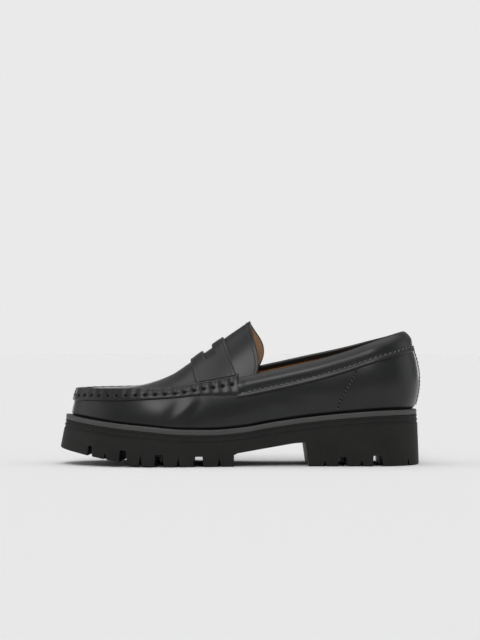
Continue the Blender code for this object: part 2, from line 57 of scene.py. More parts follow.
HEEL_ROUND = 0.042
TOE_ROUND = 0.08
ROUNDING_POWER = 2.1
HEEL_TAPER = 0.0016
TOE_TAPER = 0.0044
SIDE_TAPER = 0.002
STRIP_THICKNESS = 0.0042
GAP = 0.0003
THROAT_SHARE = 0.56
RIB_COUNT = 2
RIB_FIRST_DROP = 0.0014
RIB_PITCH = 0.0036
RIB_GROOVE_HEIGHT = 0.0016
RIB_GROOVE_DEPTH = 0.0005
LOWER_EDGE_ROUND = 0.0012
BREAST_SHARE = 0.3167
BREAST_LEAN = 0.0028
BREAST_SKEW = 0.0026
FOREFOOT_SHARE = 0.512
ARCH_FRONT_HEIGHT = 0.0109
ARCH_REAR_HEIGHT = 0.0195
ARCH_REAR_RUN = 0.009
ARCH_REAR_FALL = 0.0006
ARCH_FRONT_BEVEL = 0.003
ARCH_FRONT_DROP = 0.0015
GROOVE_TOP_SHARE = 0.82
NOTCH_REACH = 0.0095
NOTCH_TOP_SHARE = 0.15
CHANNEL_SPREAD = 0.017
CHANNEL_WIDTH = 0.004
CHANNEL_DEPTH = 0.0045
CHANNEL_TOE_SHARE = 0.93
CHANNEL_HEEL_SHARE = 0.075
CHANNEL_OVERRUN_SHARE = 0.02
GUIDE_DEPTH = 0.005
LOWER_TURN_SHARE = 0.3
LOWER_TAPER_SHARE = 0.04
TOP_EDGE_ROUND = 0.0003
SOLE_STEPS = 100
TREAD_SHARP = 28
HALF_LENGTH = SOLE_LENGTH / 2


def table(columns, *rows):
    """Rows of numbers under the names of their columns."""
    row_of = namedtuple("Row", columns)
    return [row_of(*row) for row in rows]


# Sections from heel (at = 0) to toe (at = 1): half widths and swing are shares of BALL_WIDTH,
# the rises shares of the heights over the ball.
SOLE_ROWS = table(
    "at outer inner swing heel_rise toe_rise",
    (0.000, 0.370, 0.360, 0.000, 1.000, 0.000),
    (0.100, 0.370, 0.360, 0.000, 0.963, 0.000),
    (0.200, 0.365, 0.350, 0.000, 0.839, 0.000),
    (0.300, 0.362, 0.325, 0.000, 0.655, 0.000),
    (0.400, 0.372, 0.315, 0.000, 0.404, 0.000),
    (0.500, 0.405, 0.345, 0.000, 0.100, 0.000),
    (0.575, 0.440, 0.398, 0.000, 0.000, 0.000),
    (0.650, 0.477, 0.442, 0.000, 0.000, 0.024),
    (0.750, 0.501, 0.494, 0.004, 0.000, 0.224),
    (0.850, 0.496, 0.494, 0.014, 0.000, 0.457),
    (0.950, 0.462, 0.480, 0.032, 0.000, 0.787),
    (1.000, 0.450, 0.470, 0.044, 0.000, 1.000),
)
GROOVES = table(
    "at width top slant",
    (0.123, 0.0087, 0.0086, -0.006),
    (0.219, 0.0080, 0.0076, -0.060),
    (0.611, 0.0082, 0.0084, -0.010),
    (0.717, 0.0077, 0.0100, 0.050),
    (0.815, 0.0067, 0.0135, 0.050),
    (0.908, 0.0043, 0.0164, 0.050),
)
NOTCHES = table(
    "at width top",
    (0.037, 0.0020, 0.0055), (0.167, 0.0027, 0.0049), (0.267, 0.0026, 0.0044),
    (0.554, 0.0030, 0.0062), (0.665, 0.0032, 0.0074), (0.767, 0.0029, 0.0089),
    (0.864, 0.0029, 0.0108),
)


def read(rows, column, at):
    """Smooth values of a table's column at shares, without overshoot between the rows."""
    spots = np.array([row.at for row in rows])
    values = np.array([getattr(row, column) for row in rows])
    slope = np.diff(values) / np.diff(spots)
    before, after = slope[:-1], slope[1:]
    both = np.where(before * after > 0, before + after, 1.0)
    inner = np.where(before * after > 0, 2 * before * after / both, 0.0)
    tangent = np.concatenate([slope[:1], inner, slope[-1:]])
    at = np.clip(at, spots[0], spots[-1])
    low = np.clip(np.searchsorted(spots, at) - 1, 0, len(spots) - 2)
    span = spots[low + 1] - spots[low]
    t = (at - spots[low]) / span
    start = (1 + 2 * t) * (1 - t) ** 2 * values[low] + t * (1 - t) ** 2 * span * tangent[low]
    end = t * t * (3 - 2 * t) * values[low + 1] + t * t * (t - 1) * span * tangent[low + 1]
    return start + end


def mix(a, b, t):
    return a + (b - a) * t


def soft_step(value, low, high):
    """0 under low, 1 over high, smooth between them."""
    t = np.clip((value - low) / (high - low), 0, 1)
    return t * t * (3 - 2 * t)


def unit(vectors):
    return vectors / np.maximum(np.linalg.norm(vectors, axis=-1, keepdims=True), 1e-12)


def rounding(distance, reach):
    """Width share near a rounded end: 0 at the tip, 1 from reach onwards."""
    left = np.maximum(0.0, 1 - distance / reach)
    return np.maximum(0.0, 1 - left ** ROUNDING_POWER) ** (1 / ROUNDING_POWER)


def ease(q):
    """Share from heel to toe at places q round the shoe: 0 heel, 1 or -1 toe."""
    q = np.abs(q)
    q = np.where(q > 1, 2 - q, q)
    back = THROAT_SHARE * (1 - np.cos(pi * q))
    front = THROAT_SHARE + (1 - THROAT_SHARE) * np.sin(pi * (q - 0.5))
    return np.where(q <= 0.5, back, front)


def place_of(at, side):
    """Places round the shoe of shares on one side (-1 outer, 1 inner)."""
    at = np.asarray(at, float)
    back = np.arccos(np.clip(1 - at / THROAT_SHARE, -1, 1)) / pi
    front = 0.5 + np.arcsin(np.clip((at - THROAT_SHARE) / (1 - THROAT_SHARE), 0, 1)) / pi
    return side * np.where(at <= THROAT_SHARE, back, front)


def side_of(q):
    """-1 on the outer side, 1 on the inner side, also just past the toe."""
    return np.where((q > 1) | ((q < 0) & (q >= -1)), -1.0, 1.0)


def bed_height(x):
    """Top of the grey strip, which carries the upper."""
    at = 0.5 - x / SOLE_LENGTH
    rise = (HEEL_SEAT_HEIGHT - BALL_HEIGHT) * read(SOLE_ROWS, "heel_rise", at)
    return BALL_HEIGHT + rise + (TOE_TIP_HEIGHT - BALL_HEIGHT) * read(SOLE_ROWS, "toe_rise", at)


def floor_height(x):
    """Bottom of the sole, flat under the ball and heel and sprung at the toe."""
    past = np.maximum(0.0, 0.5 - x / SOLE_LENGTH - SPRING_SHARE) / (1 - SPRING_SHARE)
    return TOE_SPRING * past ** SPRING_POWER


def sole_outline(q, heel_inset, toe_inset, side_inset):
    """Plan points of the sole's outline, drawn in by the given insets."""
    at = ease(q)
    side = side_of(q)
    length = SOLE_LENGTH - heel_inset - toe_inset
    share = np.where(side < 0, read(SOLE_ROWS, "outer", at), read(SOLE_ROWS, "inner", at))
    half = BALL_WIDTH * share - side_inset
    half = half * rounding(at * length, HEEL_ROUND) * rounding((1 - at) * length, TOE_ROUND)
    x = HALF_LENGTH - heel_inset - at * length
    return x, BALL_WIDTH * read(SOLE_ROWS, "swing", at) + side * half


def sole_edge(at, side):
    """The y of the sole's edge at a share of its length."""
    return float(sole_outline(place_of(at, side), 0, 0, 0)[1])


def ring_places(steps):
    """Places round the shoe, from the toe along the outer side and back along the inner."""
    return np.arange(2 * steps) / steps - 1


def quads(index, closed=False):
    """Faces between the rows of a grid of point numbers."""
    if closed:
        index = np.concatenate([index, index[:, :1]], axis=1)
    low, high = index[:-1], index[1:]
    return np.stack([low[:, :-1], low[:, 1:], high[:, 1:], high[:, :-1]], -1).reshape(-1, 4)


def new_object(name, data):
    made = bpy.data.objects.new(name, data)
    bpy.context.scene.collection.objects.link(made)
    return made


def solid(name, points, faces, finish, sharp=40):
    """A smooth shaded object of points and faces, without loose points."""
    mesh = bpy.data.meshes.new(name)
    mesh.from_pydata(np.asarray(points).reshape(-1, 3).tolist(), [], [list(f) for f in faces])
    bm = bmesh.new()
    bm.from_mesh(mesh)
    bmesh.ops.delete(bm, geom=[v for v in bm.verts if not v.link_faces], context="VERTS")
    bm.to_mesh(mesh)
    bm.free()
    mesh.materials.append(finish)
    mesh.shade_smooth()
    mesh.set_sharp_from_angle(angle=radians(sharp))
    return new_object(name, mesh)


def plate(name, rings, finish, sharp=40):
    """Closed plate from rings of points, bottom ring first, that go once round the shoe."""
    rings = np.array(rings)
    index = np.arange(rings.shape[0] * rings.shape[1]).reshape(rings.shape[:2])
    faces = quads(index, closed=True).tolist()
    steps = rings.shape[1] // 2
    for ring, upward in ((index[0].tolist(), False), (index[-1].tolist(), True)):
        for k in range(steps):
            corners = [ring[k], ring[k + 1], ring[-k - 1], ring[(-k) % len(ring)]]
            corners = list(dict.fromkeys(corners))
            if len(corners) > 2:
                faces.append(corners if upward else corners[::-1])
    return solid(name, rings, faces, finish, sharp)


def sole_ring(height_share, lift_from_bed, extra_inset):
    """Ring of the sole's wall, lift_from_bed under the bed, or on the floor line where that is
    None, drawn in by height_share of the taper and by extra_inset."""
    x, y = sole_outline(ring_places(SOLE_STEPS), HEEL_TAPER * height_share + extra_inset,
                        TOE_TAPER * height_share + extra_inset,
                        SIDE_TAPER * height_share + extra_inset)
    z = floor_height(x) if lift_from_bed is None else bed_height(x) - lift_from_bed
    return np.stack([x, y, z], -1)


def prism(bm, profile, y_low, y_high, skew=0.0):
    """Add a closed prism: an XZ profile run from y_low to y_high, shifted by skew in x."""
    near = [bm.verts.new((x, y_low, z)) for x, z in profile]
    far = [bm.verts.new((x + skew, y_high, z)) for x, z in profile]
    bm.faces.new(near)
    bm.faces.new(far[::-1])
    for i in range(len(profile)):
        k = (i + 1) % len(profile)
        bm.faces.new((near[k], near[i], far[i], far[k]))


def sole_x(at):
    return HALF_LENGTH - at * SOLE_LENGTH


def groove_profile(groove, top_share):
    """Profile of a groove: full width below the tread, top_share of it at the top."""
    x = sole_x(groove.at)
    foot = groove.width / 2
    head = foot * top_share
    floor = float(floor_height(x))
    return [(x - foot, -GUIDE_DEPTH), (x + foot, -GUIDE_DEPTH), (x + foot, floor),
            (x + head, groove.top), (x - head, groove.top), (x - foot, floor)]


def cut(made, name, bm):
    """Take a guide shape away from an object and drop the guide."""
    bmesh.ops.recalc_face_normals(bm, faces=bm.faces)
    mesh = bpy.data.meshes.new(name)
    bm.to_mesh(mesh)
    bm.free()
    guide = new_object(name, mesh)
    boolean = made.modifiers.new(name, "BOOLEAN")
    boolean.operation = "DIFFERENCE"
    boolean.solver = "EXACT"
    boolean.object = guide
    make_plain(made)
    bpy.data.objects.remove(guide, do_unlink=True)


def make_plain(made):
    """Turn an object with modifiers into the plain mesh that they give."""
    depsgraph = bpy.context.evaluated_depsgraph_get()
    mesh = bpy.data.meshes.new_from_object(made.evaluated_get(depsgraph))
    made.modifiers.clear()
    old = made.data
    made.data = mesh
    bpy.data.meshes.remove(old)


def dress(made, *nodes, slot="black_leather"):
    """The piece rides on the shoe and stands for CAD nodes, which it hides; slot is not used."""
    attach(made, "root")
    if nodes:
        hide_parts(*nodes)


def set_inputs(node, values):
    for name, value in dict(values).items():
        node.inputs[name].default_value = value


def add_node(tree, kind, values=(), sources=(), **settings):
    """Add a shader node with settings, input values and links from other nodes' outputs."""
    node = tree.nodes.new("ShaderNode" + kind)
    for name, setting in settings.items():
        setattr(node, name, setting)
    set_inputs(node, values)
    for name, source in dict(sources).items():
        tree.links.new(source, node.inputs[name])
    return node


def principled(finish):
    return finish.node_tree.nodes["Principled BSDF"]


def finish_with_grain(name, dark, light, roughness, cell, depth, patch=0.02, spread=0.06):
    """Surface with a fine grain in cells of that size, soft patches of colour and of gloss."""
    made = bpy.data.materials.new(name)
    made.use_nodes = True
    tree = made.node_tree
    place = add_node(tree, "TexCoord").outputs["Object"]

    def noise(scale, detail):
        return add_node(tree, "TexNoise", {"Scale": scale, "Detail": detail},
                        {"Vector": place}).outputs["Fac"]

    ramp = add_node(tree, "ValToRGB", {}, {"Fac": noise(1 / patch, 3.0)})
    for stop, position, colour in zip(ramp.color_ramp.elements, (0.35, 0.65), (dark, light)):
        stop.position = position
        stop.color = (*colour, 1)
    gloss = add_node(tree, "MapRange", {"From Min": 0.3, "From Max": 0.7,
                                        "To Min": roughness - spread, "To Max": roughness + spread},
                     {"Value": noise(0.4 / patch, 2.0)})
    cells = add_node(tree, "TexVoronoi", {"Scale": 1 / cell}, {"Vector": place},
                     feature="DISTANCE_TO_EDGE")
    grain = add_node(tree, "Math", {1: 1.2}, {0: cells.outputs["Distance"],
                                              2: noise(0.6 / cell, 4.0)}, operation="MULTIPLY_ADD")
    bump = add_node(tree, "Bump", {"Strength": 0.5, "Distance": depth},
                    {"Height": grain.outputs["Value"]})
    shader = principled(made).inputs
    tree.links.new(ramp.outputs["Color"], shader["Base Color"])
    tree.links.new(gloss.outputs["Result"], shader["Roughness"])
    tree.links.new(bump.outputs["Normal"], shader["Normal"])
    return made


black_rubber = finish_with_grain("black_rubber", (0.0105, 0.0105, 0.0099),
                                 (0.0140, 0.0138, 0.0129), 0.62, 0.0011, 0.00012)
set_inputs(principled(black_rubber), {"Specular IOR Level": 0.25})

rib_height = BALL_HEIGHT - STRIP_THICKNESS
rings = []
for taper, inset, lift in ((0.0, 1.0, 0.0), (0.0, LOWER_TURN_SHARE, LOWER_TURN_SHARE),
                           (LOWER_TAPER_SHARE, 0.0, 1.0)):
    rings.append(sole_ring(taper, None, LOWER_EDGE_ROUND * inset))
    rings[-1][:, 2] += LOWER_EDGE_ROUND * lift
rib_corners = ((RIB_GROOVE_HEIGHT + RIB_GROOVE_DEPTH, 0), (RIB_GROOVE_HEIGHT, 1), (0, 1),
               (-RIB_GROOVE_DEPTH, 0))
for rib in reversed(range(RIB_COUNT)):
    drop = RIB_FIRST_DROP + rib * RIB_PITCH
    for down, inward in rib_corners:
        rings.append(sole_ring(1 - (drop + down) / rib_height, STRIP_THICKNESS + GAP + drop + down,
                               inward * RIB_GROOVE_DEPTH))
rings.append(sole_ring(1.0, STRIP_THICKNESS + GAP + TOP_EDGE_ROUND, 0.0))
rings.append(sole_ring(1.0, STRIP_THICKNESS + GAP, TOP_EDGE_ROUND))
sole = plate("sole_unit", rings, black_rubber)

tread_guide = bmesh.new()
front_x = sole_x(FOREFOOT_SHARE)
breast_x = sole_x(BREAST_SHARE)
arch_profile = [(front_x, -GUIDE_DEPTH), (breast_x + BREAST_LEAN, -GUIDE_DEPTH),
                (breast_x + BREAST_LEAN, 0), (breast_x, ARCH_REAR_HEIGHT),
                (breast_x - ARCH_REAR_RUN, ARCH_REAR_HEIGHT - ARCH_REAR_FALL),
                (front_x + ARCH_FRONT_BEVEL, ARCH_FRONT_HEIGHT),
                (front_x, ARCH_FRONT_HEIGHT - ARCH_FRONT_DROP)]
prism(tread_guide, arch_profile, -BALL_WIDTH, BALL_WIDTH, -BREAST_SKEW)
for groove in GROOVES:
    start = groove.slant * (-BALL_WIDTH - sole_edge(groove.at, -1))
    profile = [(x + start, z) for x, z in groove_profile(groove, GROOVE_TOP_SHARE)]
    prism(tread_guide, profile, -BALL_WIDTH, BALL_WIDTH, groove.slant * 2 * BALL_WIDTH)
for notch in NOTCHES:
    profile = groove_profile(notch, NOTCH_TOP_SHARE)
    prism(tread_guide, profile, -BALL_WIDTH, sole_edge(notch.at, -1) + NOTCH_REACH)
    prism(tread_guide, profile, sole_edge(notch.at, 1) - NOTCH_REACH, BALL_WIDTH)
cut(sole, "tread_guide", tread_guide)

channel_guide = bmesh.new()
for toe_end, heel_end in ((CHANNEL_TOE_SHARE, FOREFOOT_SHARE - CHANNEL_OVERRUN_SHARE),
                          (BREAST_SHARE + CHANNEL_OVERRUN_SHARE, CHANNEL_HEEL_SHARE)):
    start = sole_x(toe_end)
    end = sole_x(heel_end)
    profile = [(start, -GUIDE_DEPTH), (end, -GUIDE_DEPTH),
               (end, float(floor_height(end)) + CHANNEL_DEPTH)]
    middle = min(sole_x(SPRING_SHARE), end)
    if start < middle:
        profile.append((middle, float(floor_height(middle)) + CHANNEL_DEPTH))
    profile.append((start, float(floor_height(start)) + CHANNEL_DEPTH))
    for y in (-CHANNEL_SPREAD, CHANNEL_SPREAD):
        prism(channel_guide, profile, y - CHANNEL_WIDTH / 2, y + CHANNEL_WIDTH / 2)
cut(sole, "channel_guide", channel_guide)
sole.data.shade_smooth()
sole.data.set_sharp_from_angle(angle=radians(TREAD_SHARP))
dress(sole, "outsole", slot="outsole_rubber")

# Grey strip. A plate of firm grey rubber between the sole unit and the upper, with a softened
# edge that shows as one light line all round the shoe.
STRIP_ROUND = 0.0009
STRIP_FOOT_INSET = 0.0002
STRIP_FOOT_RISE = 0.0003
grey_rubber = finish_with_grain("grey_rubber", (0.048, 0.048, 0.046), (0.058, 0.058, 0.056),
                                0.52, 0.0009, 0.00008)

rings = [sole_ring(1.0, STRIP_THICKNESS, GAP + STRIP_FOOT_INSET),
         sole_ring(1.0, STRIP_THICKNESS - STRIP_FOOT_RISE, GAP)]
for turn in np.radians([0, 30, 60, 90]):
    rings.append(sole_ring(1.0, STRIP_ROUND * (1 - sin(turn)),
                           GAP + STRIP_ROUND * (1 - cos(turn))))
strip = plate("grey_strip", rings, grey_rubber, 50)
dress(strip, "midsole", slot="strip_rubber")

# Upper wall. One long piece of smooth black leather, lasted round the foot from the collar down
# to the strip, where it turns in and leaves a dark line. Two seams slant down the quarters.
BACK_HEIGHT = 0.064
LEDGE_TOE = 0.0048
LEDGE_HEEL = 0.0025
LEDGE_SIDE = 0.0035
RIM_BACK_INSET = 0.012
RIM_TOE_INSET = 0.0142
RIM_HEEL_ROUND = 0.036
RIM_TOE_ROUND = 0.066
BULGE = 0.0079
WALL = 0.0018
LEATHER = 0.0012
TURN_IN_HEIGHT = 0.0026
TURN_IN_DEPTH = 0.0015
FOOT_CLEAR = 0.00005
WALL_STEPS = 280
WALL_ROWS = 50
WALL_ROW_POWER = 1.15
FOLD_TAPER = 0.1
PLAN_STEP = 0.004
SHELL_STEP_Q = 0.003
SHELL_STEP_V = 0.02
WALL_CORRECTIONS = 12
RIM_BACK_X = HALF_LENGTH - RIM_BACK_INSET
RIM_LENGTH = SOLE_LENGTH - RIM_BACK_INSET - RIM_TOE_INSET

RIM_ROWS = table(
    "at outer inner outer_rise inner_rise bulge",
    (0.00, 0.250, 0.250, 1.000, 1.000, 1.00),
    (0.05, 0.255, 0.252, 0.939, 0.937, 0.95),
    (0.10, 0.258, 0.255, 0.878, 0.892, 0.80),
    (0.20, 0.264, 0.262, 0.762, 0.818, 0.60),
    (0.30, 0.268, 0.266, 0.688, 0.771, 0.55),
    (0.40, 0.275, 0.275, 0.649, 0.736, 0.50),
    (0.50, 0.290, 0.292, 0.632, 0.716, 0.45),
    (0.60, 0.318, 0.318, 0.588, 0.658, 0.40),
    (0.70, 0.345, 0.345, 0.508, 0.555, 0.35),
    (0.80, 0.357, 0.365, 0.449, 0.468, 0.25),
    (0.90, 0.355, 0.362, 0.398, 0.409, 0.15),
    (0.95, 0.350, 0.357, 0.370, 0.377, 0.12),
    (1.00, 0.345, 0.352, 0.338, 0.338, 0.10),
)
# Soft troughs of worked leather, and swells where depth is below zero, as lines in side view.
# side is -1 for the outer side and 1 for the inner side.
FOLDS = table(
    "side x_start z_start x_end z_end width depth",
    (-1, -0.046, 0.056, -0.060, 0.036, 0.0050, 0.00045),
    (-1, -0.030, 0.054, -0.046, 0.034, 0.0045, 0.00040),
    (-1, -0.036, 0.055, -0.052, 0.036, 0.0040, -0.00035),
    (-1, 0.030, 0.058, 0.070, 0.052, 0.0060, 0.00040),
    (1, -0.048, 0.058, -0.062, 0.038, 0.0050, 0.00045),
    (1, -0.032, 0.058, -0.048, 0.036, 0.0045, 0.00040),
    (1, 0.030, 0.058, 0.070, 0.052, 0.0060, 0.00040),
)


def feather(q):
    """Where the upper's outer face meets the strip."""
    x, y = sole_outline(q, HEEL_TAPER + LEDGE_HEEL, TOE_TAPER + LEDGE_TOE,
                        SIDE_TAPER + LEDGE_SIDE)
    return np.stack([x, y, bed_height(x) + GAP], -1)


def rim(q):
    """Top line of the upper: collar at the back, apron ridge at the front."""
    at = ease(q)
    side = side_of(q)
    share = np.where(side < 0, read(RIM_ROWS, "outer", at), read(RIM_ROWS, "inner", at))
    rise = np.where(side < 0, read(RIM_ROWS, "outer_rise", at), read(RIM_ROWS, "inner_rise", at))
    x = RIM_BACK_X - at * RIM_LENGTH
    half = BALL_WIDTH * share * rounding(at * RIM_LENGTH, RIM_HEEL_ROUND)
    half = half * rounding((1 - at) * RIM_LENGTH, RIM_TOE_ROUND)
    y = BALL_WIDTH * read(SOLE_ROWS, "swing", at) + side * half
    return np.stack([x, y, bed_height(x) + BACK_HEIGHT * rise], -1)


def plan_normal(q):
    """Level direction pointing out of the shoe at places round it."""
    along = feather(q + PLAN_STEP) - feather(q - PLAN_STEP)
    return unit(np.stack([along[..., 1], -along[..., 0], 0 * along[..., 0]], -1))


def shell(q, v):
    """Outer face of the upper's wall: v runs from the strip (0) to the top line (1)."""
    q, v = np.broadcast_arrays(q, v)
    point = mix(feather(q), rim(q), v[..., None])
    swell = BULGE * read(RIM_ROWS, "bulge", ease(q)) * 4 * v * (1 - v)
    return point + plan_normal(q) * swell[..., None]


def shell_normal(q, v):
    """Direction out of the wall's face."""
    along = shell(q + SHELL_STEP_Q, v) - shell(q - SHELL_STEP_Q, v)
    up = shell(q, v + SHELL_STEP_V) - shell(q, v - SHELL_STEP_V)
    return unit(np.cross(along, up))


def wall_height(q):
    return rim(q)[..., 2] - feather(q)[..., 2]


def below_rim(q, drop):
    """The v of points this far under the top line."""
    return 1 - drop / wall_height(q)


def wall_place(x, z, side):
    """Place q and height v of wall points given in side view, found by a few corrections."""
    at = (RIM_BACK_X - x) / RIM_LENGTH
    v = np.full_like(at, 0.5)
    for _ in range(WALL_CORRECTIONS):
        q = place_of(at, side)
        point = shell(q, v)
        at = at + (point[..., 0] - x) / RIM_LENGTH
        v = v + (z - point[..., 2]) / wall_height(q)
    return place_of(at, side), v


def slab(name, outer, inner, finish, closed=False, keep=None, sharp=40):
    """Closed body between two matching grids of points; keep marks the cells that stay."""
    rows, count = outer.shape[:2]
    size = rows * count
    faces = quads(np.arange(size).reshape(rows, count), closed)
    if keep is not None:
        faces = faces[keep.ravel()]
    sides = {side for face in faces.tolist() for side in zip(face, face[1:] + face[:1])}
    walls = [(b, a, a + size, b + size) for a, b in sorted(sides) if (b, a) not in sides]
    backs = (faces[:, ::-1] + size).tolist()
    points = np.concatenate([outer.reshape(-1, 3), inner.reshape(-1, 3)])
    return solid(name, points, faces.tolist() + backs + walls, finish, sharp)


black_leather = finish_with_grain("black_leather", (0.0080, 0.0085, 0.0085),
                                  (0.0112, 0.0118, 0.0118), 0.33, 0.0008, 0.00006, spread=0.05)
set_inputs(principled(black_leather), {"Specular IOR Level": 0.30, "Coat Weight": 0.18,
                                       "Coat Roughness": 0.22})

wall_q = ring_places(WALL_STEPS)[None, :]
wall_v = np.linspace(0, 1, WALL_ROWS + 1)[:, None] ** WALL_ROW_POWER
face = shell(wall_q, wall_v)
out = shell_normal(wall_q, wall_v)
height = face[..., 2] - feather(wall_q)[..., 2]
relief = -TURN_IN_DEPTH * np.maximum(0, 1 - height / TURN_IN_HEIGHT) ** 2
for fold in FOLDS:
    start = np.array([fold.x_start, fold.z_start])
    way = np.array([fold.x_end, fold.z_end]) - start
    spot = face[..., [0, 2]] - start
    part = (spot @ way) / (way @ way)
    away = np.linalg.norm(spot - np.clip(part, 0, 1)[..., None] * way, axis=-1)
    taper = np.sin(pi * np.clip(part * (1 - 2 * FOLD_TAPER) + FOLD_TAPER, 0, 1))
    on_side = face[..., 1] * fold.side > 0
    relief = relief - fold.depth * np.exp(-(away / fold.width) ** 2) * taper * on_side
outside = face + out * relief[..., None]
inside = face + out * (np.minimum(relief, 0) - LEATHER)[..., None]
outside[0, :, 2] = inside[0, :, 2] = face[0, :, 2] - GAP + FOOT_CLEAR
wall = slab("upper_wall", outside, inside, black_leather, closed=True)
dress(wall, "upper")

# Apron. A flat piece of the same leather laid over the toes and instep, held by the moc seam.
INSTEP_ARCH = 0.0413
SWEEP = 0.008
APRON_TIP_SHARE = 0.994
APRON_ROWS = 120
APRON_COLUMNS = 61
INSTEP_ROWS = table(
    "at rise sweep fullness",
    (0.42, 1.080, 0.98, 2.0),
    (0.50, 0.838, 0.87, 2.0),
    (0.55, 0.678, 0.75, 2.0),
    (0.60, 0.513, 0.68, 2.0),
    (0.65, 0.368, 0.56, 2.1),
    (0.70, 0.235, 0.38, 2.2),
    (0.75, 0.138, 0.25, 2.3),
    (0.80, 0.076, 0.12, 2.4),
    (0.85, 0.052, 0.05, 2.5),
    (0.90, 0.046, 0.00, 2.6),
    (0.95, 0.036, 0.00, 2.6),
    (1.00, 0.000, 0.00, 2.6),
)


def instep(at, b):
    """Outer face of apron, instep and tongue: b runs from outer edge (-1) to inner edge (1)."""
    at, b = np.broadcast_arrays(at, b)
    outer = rim(place_of(at, -1))
    inner = rim(place_of(at, 1))
    edge = mix(outer, inner, ((b + 1) / 2)[..., None])
    x = edge[..., 0] - SWEEP * read(INSTEP_ROWS, "sweep", at) * (1 - b * b)
    crown = INSTEP_ARCH * read(INSTEP_ROWS, "rise", at)
    arch = 1 - np.abs(b) ** read(INSTEP_ROWS, "fullness", at)
    return np.stack([x, edge[..., 1], edge[..., 2] + crown * arch], -1)


def grid_normal(grid):
    """Direction out of a grid of points whose rows run up or back and whose columns run along."""
    return unit(np.cross(np.gradient(grid, axis=1), np.gradient(grid, axis=0)))


apron_at = np.linspace(THROAT_SHARE, APRON_TIP_SHARE, APRON_ROWS)[:, None]
apron_b = np.linspace(-1, 1, APRON_COLUMNS)[None, :]
face = instep(apron_at, apron_b)
out = grid_normal(face)
apron = slab("apron", face, face - out * LEATHER, black_leather)
dress(apron, "upper")

# Sock and lining. Tan calf leather: a sock glued on the footbed and a thin lining stuck to the
# inside of the wall.
SOCK_THICKNESS = 0.003
SOCK_STEPS = 90
SOCK_CLEAR = 0.0004
SOCK_ROUND = 0.0006
tan_leather = finish_with_grain("tan_leather", (0.48, 0.30, 0.17), (0.56, 0.36, 0.22),
                                0.58, 0.0010, 0.00008, patch=0.03)

q = ring_places(SOCK_STEPS)
rings = []
for height, inset in ((0.0, 0.0), (SOCK_THICKNESS - SOCK_ROUND, 0.0), (SOCK_THICKNESS, SOCK_ROUND)):
    ring = feather(q) - plan_normal(q) * (WALL + SOCK_CLEAR + inset)
    ring[:, 2] = bed_height(ring[:, 0]) + GAP + height
    rings.append(ring)
sock = plate("sock", rings, tan_leather, 50)
dress(sock, "insole", slot="tan_lining")

LINING_FRONT = 0.0013
LINING_BACK = 0.0019
LINING_FOOT = 0.04
LINING_TOP = 0.985
LINING_STEPS = 140
LINING_ROWS = 28
q = ring_places(LINING_STEPS)[None, :]
v = np.linspace(LINING_FOOT, LINING_TOP, LINING_ROWS)[:, None]
face = shell(q, v)
out = shell_normal(q, v)
lining = slab("lining", face - out * LINING_FRONT, face - out * LINING_BACK, tan_leather,
              closed=True)
dress(lining, slot="tan_lining")

# Tongue. It carries the apron on up the instep, black outside and tan inside, with its free
# edge bound and stitched.
TONGUE_END_SHARE = 0.447
TONGUE_OUTER_FLARE_SHARE = 0.0065
TONGUE_OUTER_FOOT_SHARE = 0.0084
TONGUE_INNER_FLARE_SHARE = 0.0255
TONGUE_OUTER_POWER = 4.0
TONGUE_FOOT_POWER = 14
TONGUE_INNER_POWER = 3.1
TONGUE_EASE = 0.001
TONGUE_TUCK = 0.009
TUCK_ACROSS = 0.3
TONGUE_LINING_BACK = 0.002
TONGUE_ROWS = 60
TONGUE_COLUMNS = 81
TUCK_COLUMNS = 6


def tongue_end(b):
    """Share where the tongue's free edge lies. It flares back on both flanks, and runs forward
    at the foot of the outer one."""
    b = np.asarray(b, float)
    outer = TONGUE_OUTER_FLARE_SHARE * np.sin(pi * np.abs(b) ** TONGUE_OUTER_POWER)
    outer = outer - TONGUE_OUTER_FOOT_SHARE * b ** TONGUE_FOOT_POWER
    inner = TONGUE_INNER_FLARE_SHARE * np.sin(pi * np.abs(b) ** TONGUE_INNER_POWER)
    return TONGUE_END_SHARE - np.where(b < 0, outer, inner)


def tongue_face(length, across):
    """Face of the tongue: length from the throat (0) to the free edge (1); across from -1 to 1
    over the instep, and TUCK_ACROSS beyond that down inside the collar."""
    length, across = np.broadcast_arrays(length, across)
    inset = WALL + GAP + TONGUE_EASE
    b = np.clip(across, -1, 1)
    over = instep(mix(THROAT_SHARE, tongue_end(b), length), b)
    over[..., 1] -= inset * b * np.abs(b)
    side = np.sign(across)
    q = place_of(mix(THROAT_SHARE, tongue_end(side), length), 1) * side
    drop = TONGUE_TUCK * np.maximum(np.abs(across) - 1, 0) / TUCK_ACROSS
    down = shell(q, below_rim(q, drop)) - plan_normal(q) * inset
    return np.where((np.abs(across) > 1)[..., None], down, over)


length = np.linspace(1, 0, TONGUE_ROWS)[:, None]
tucked = np.linspace(1.05, 1 + TUCK_ACROSS, TUCK_COLUMNS)
across = np.concatenate([-tucked[::-1], np.linspace(-1, 1, TONGUE_COLUMNS), tucked])[None, :]
face = tongue_face(length, across)
out = grid_normal(face)
tongue = slab("tongue", face, face - out * LEATHER, black_leather)
dress(tongue, "tongue")
tongue_lining = slab("tongue_lining", face - out * LINING_FRONT, face - out * TONGUE_LINING_BACK,
                     tan_leather)
dress(tongue_lining, slot="tan_lining")

# Stitches. Waxed thread sewn in even rows: a row is a line on the leather with its way out, and
# each stitch is a short plump loop that leans across the row.
Stitch = namedtuple("Stitch", "pitch length thread lean")


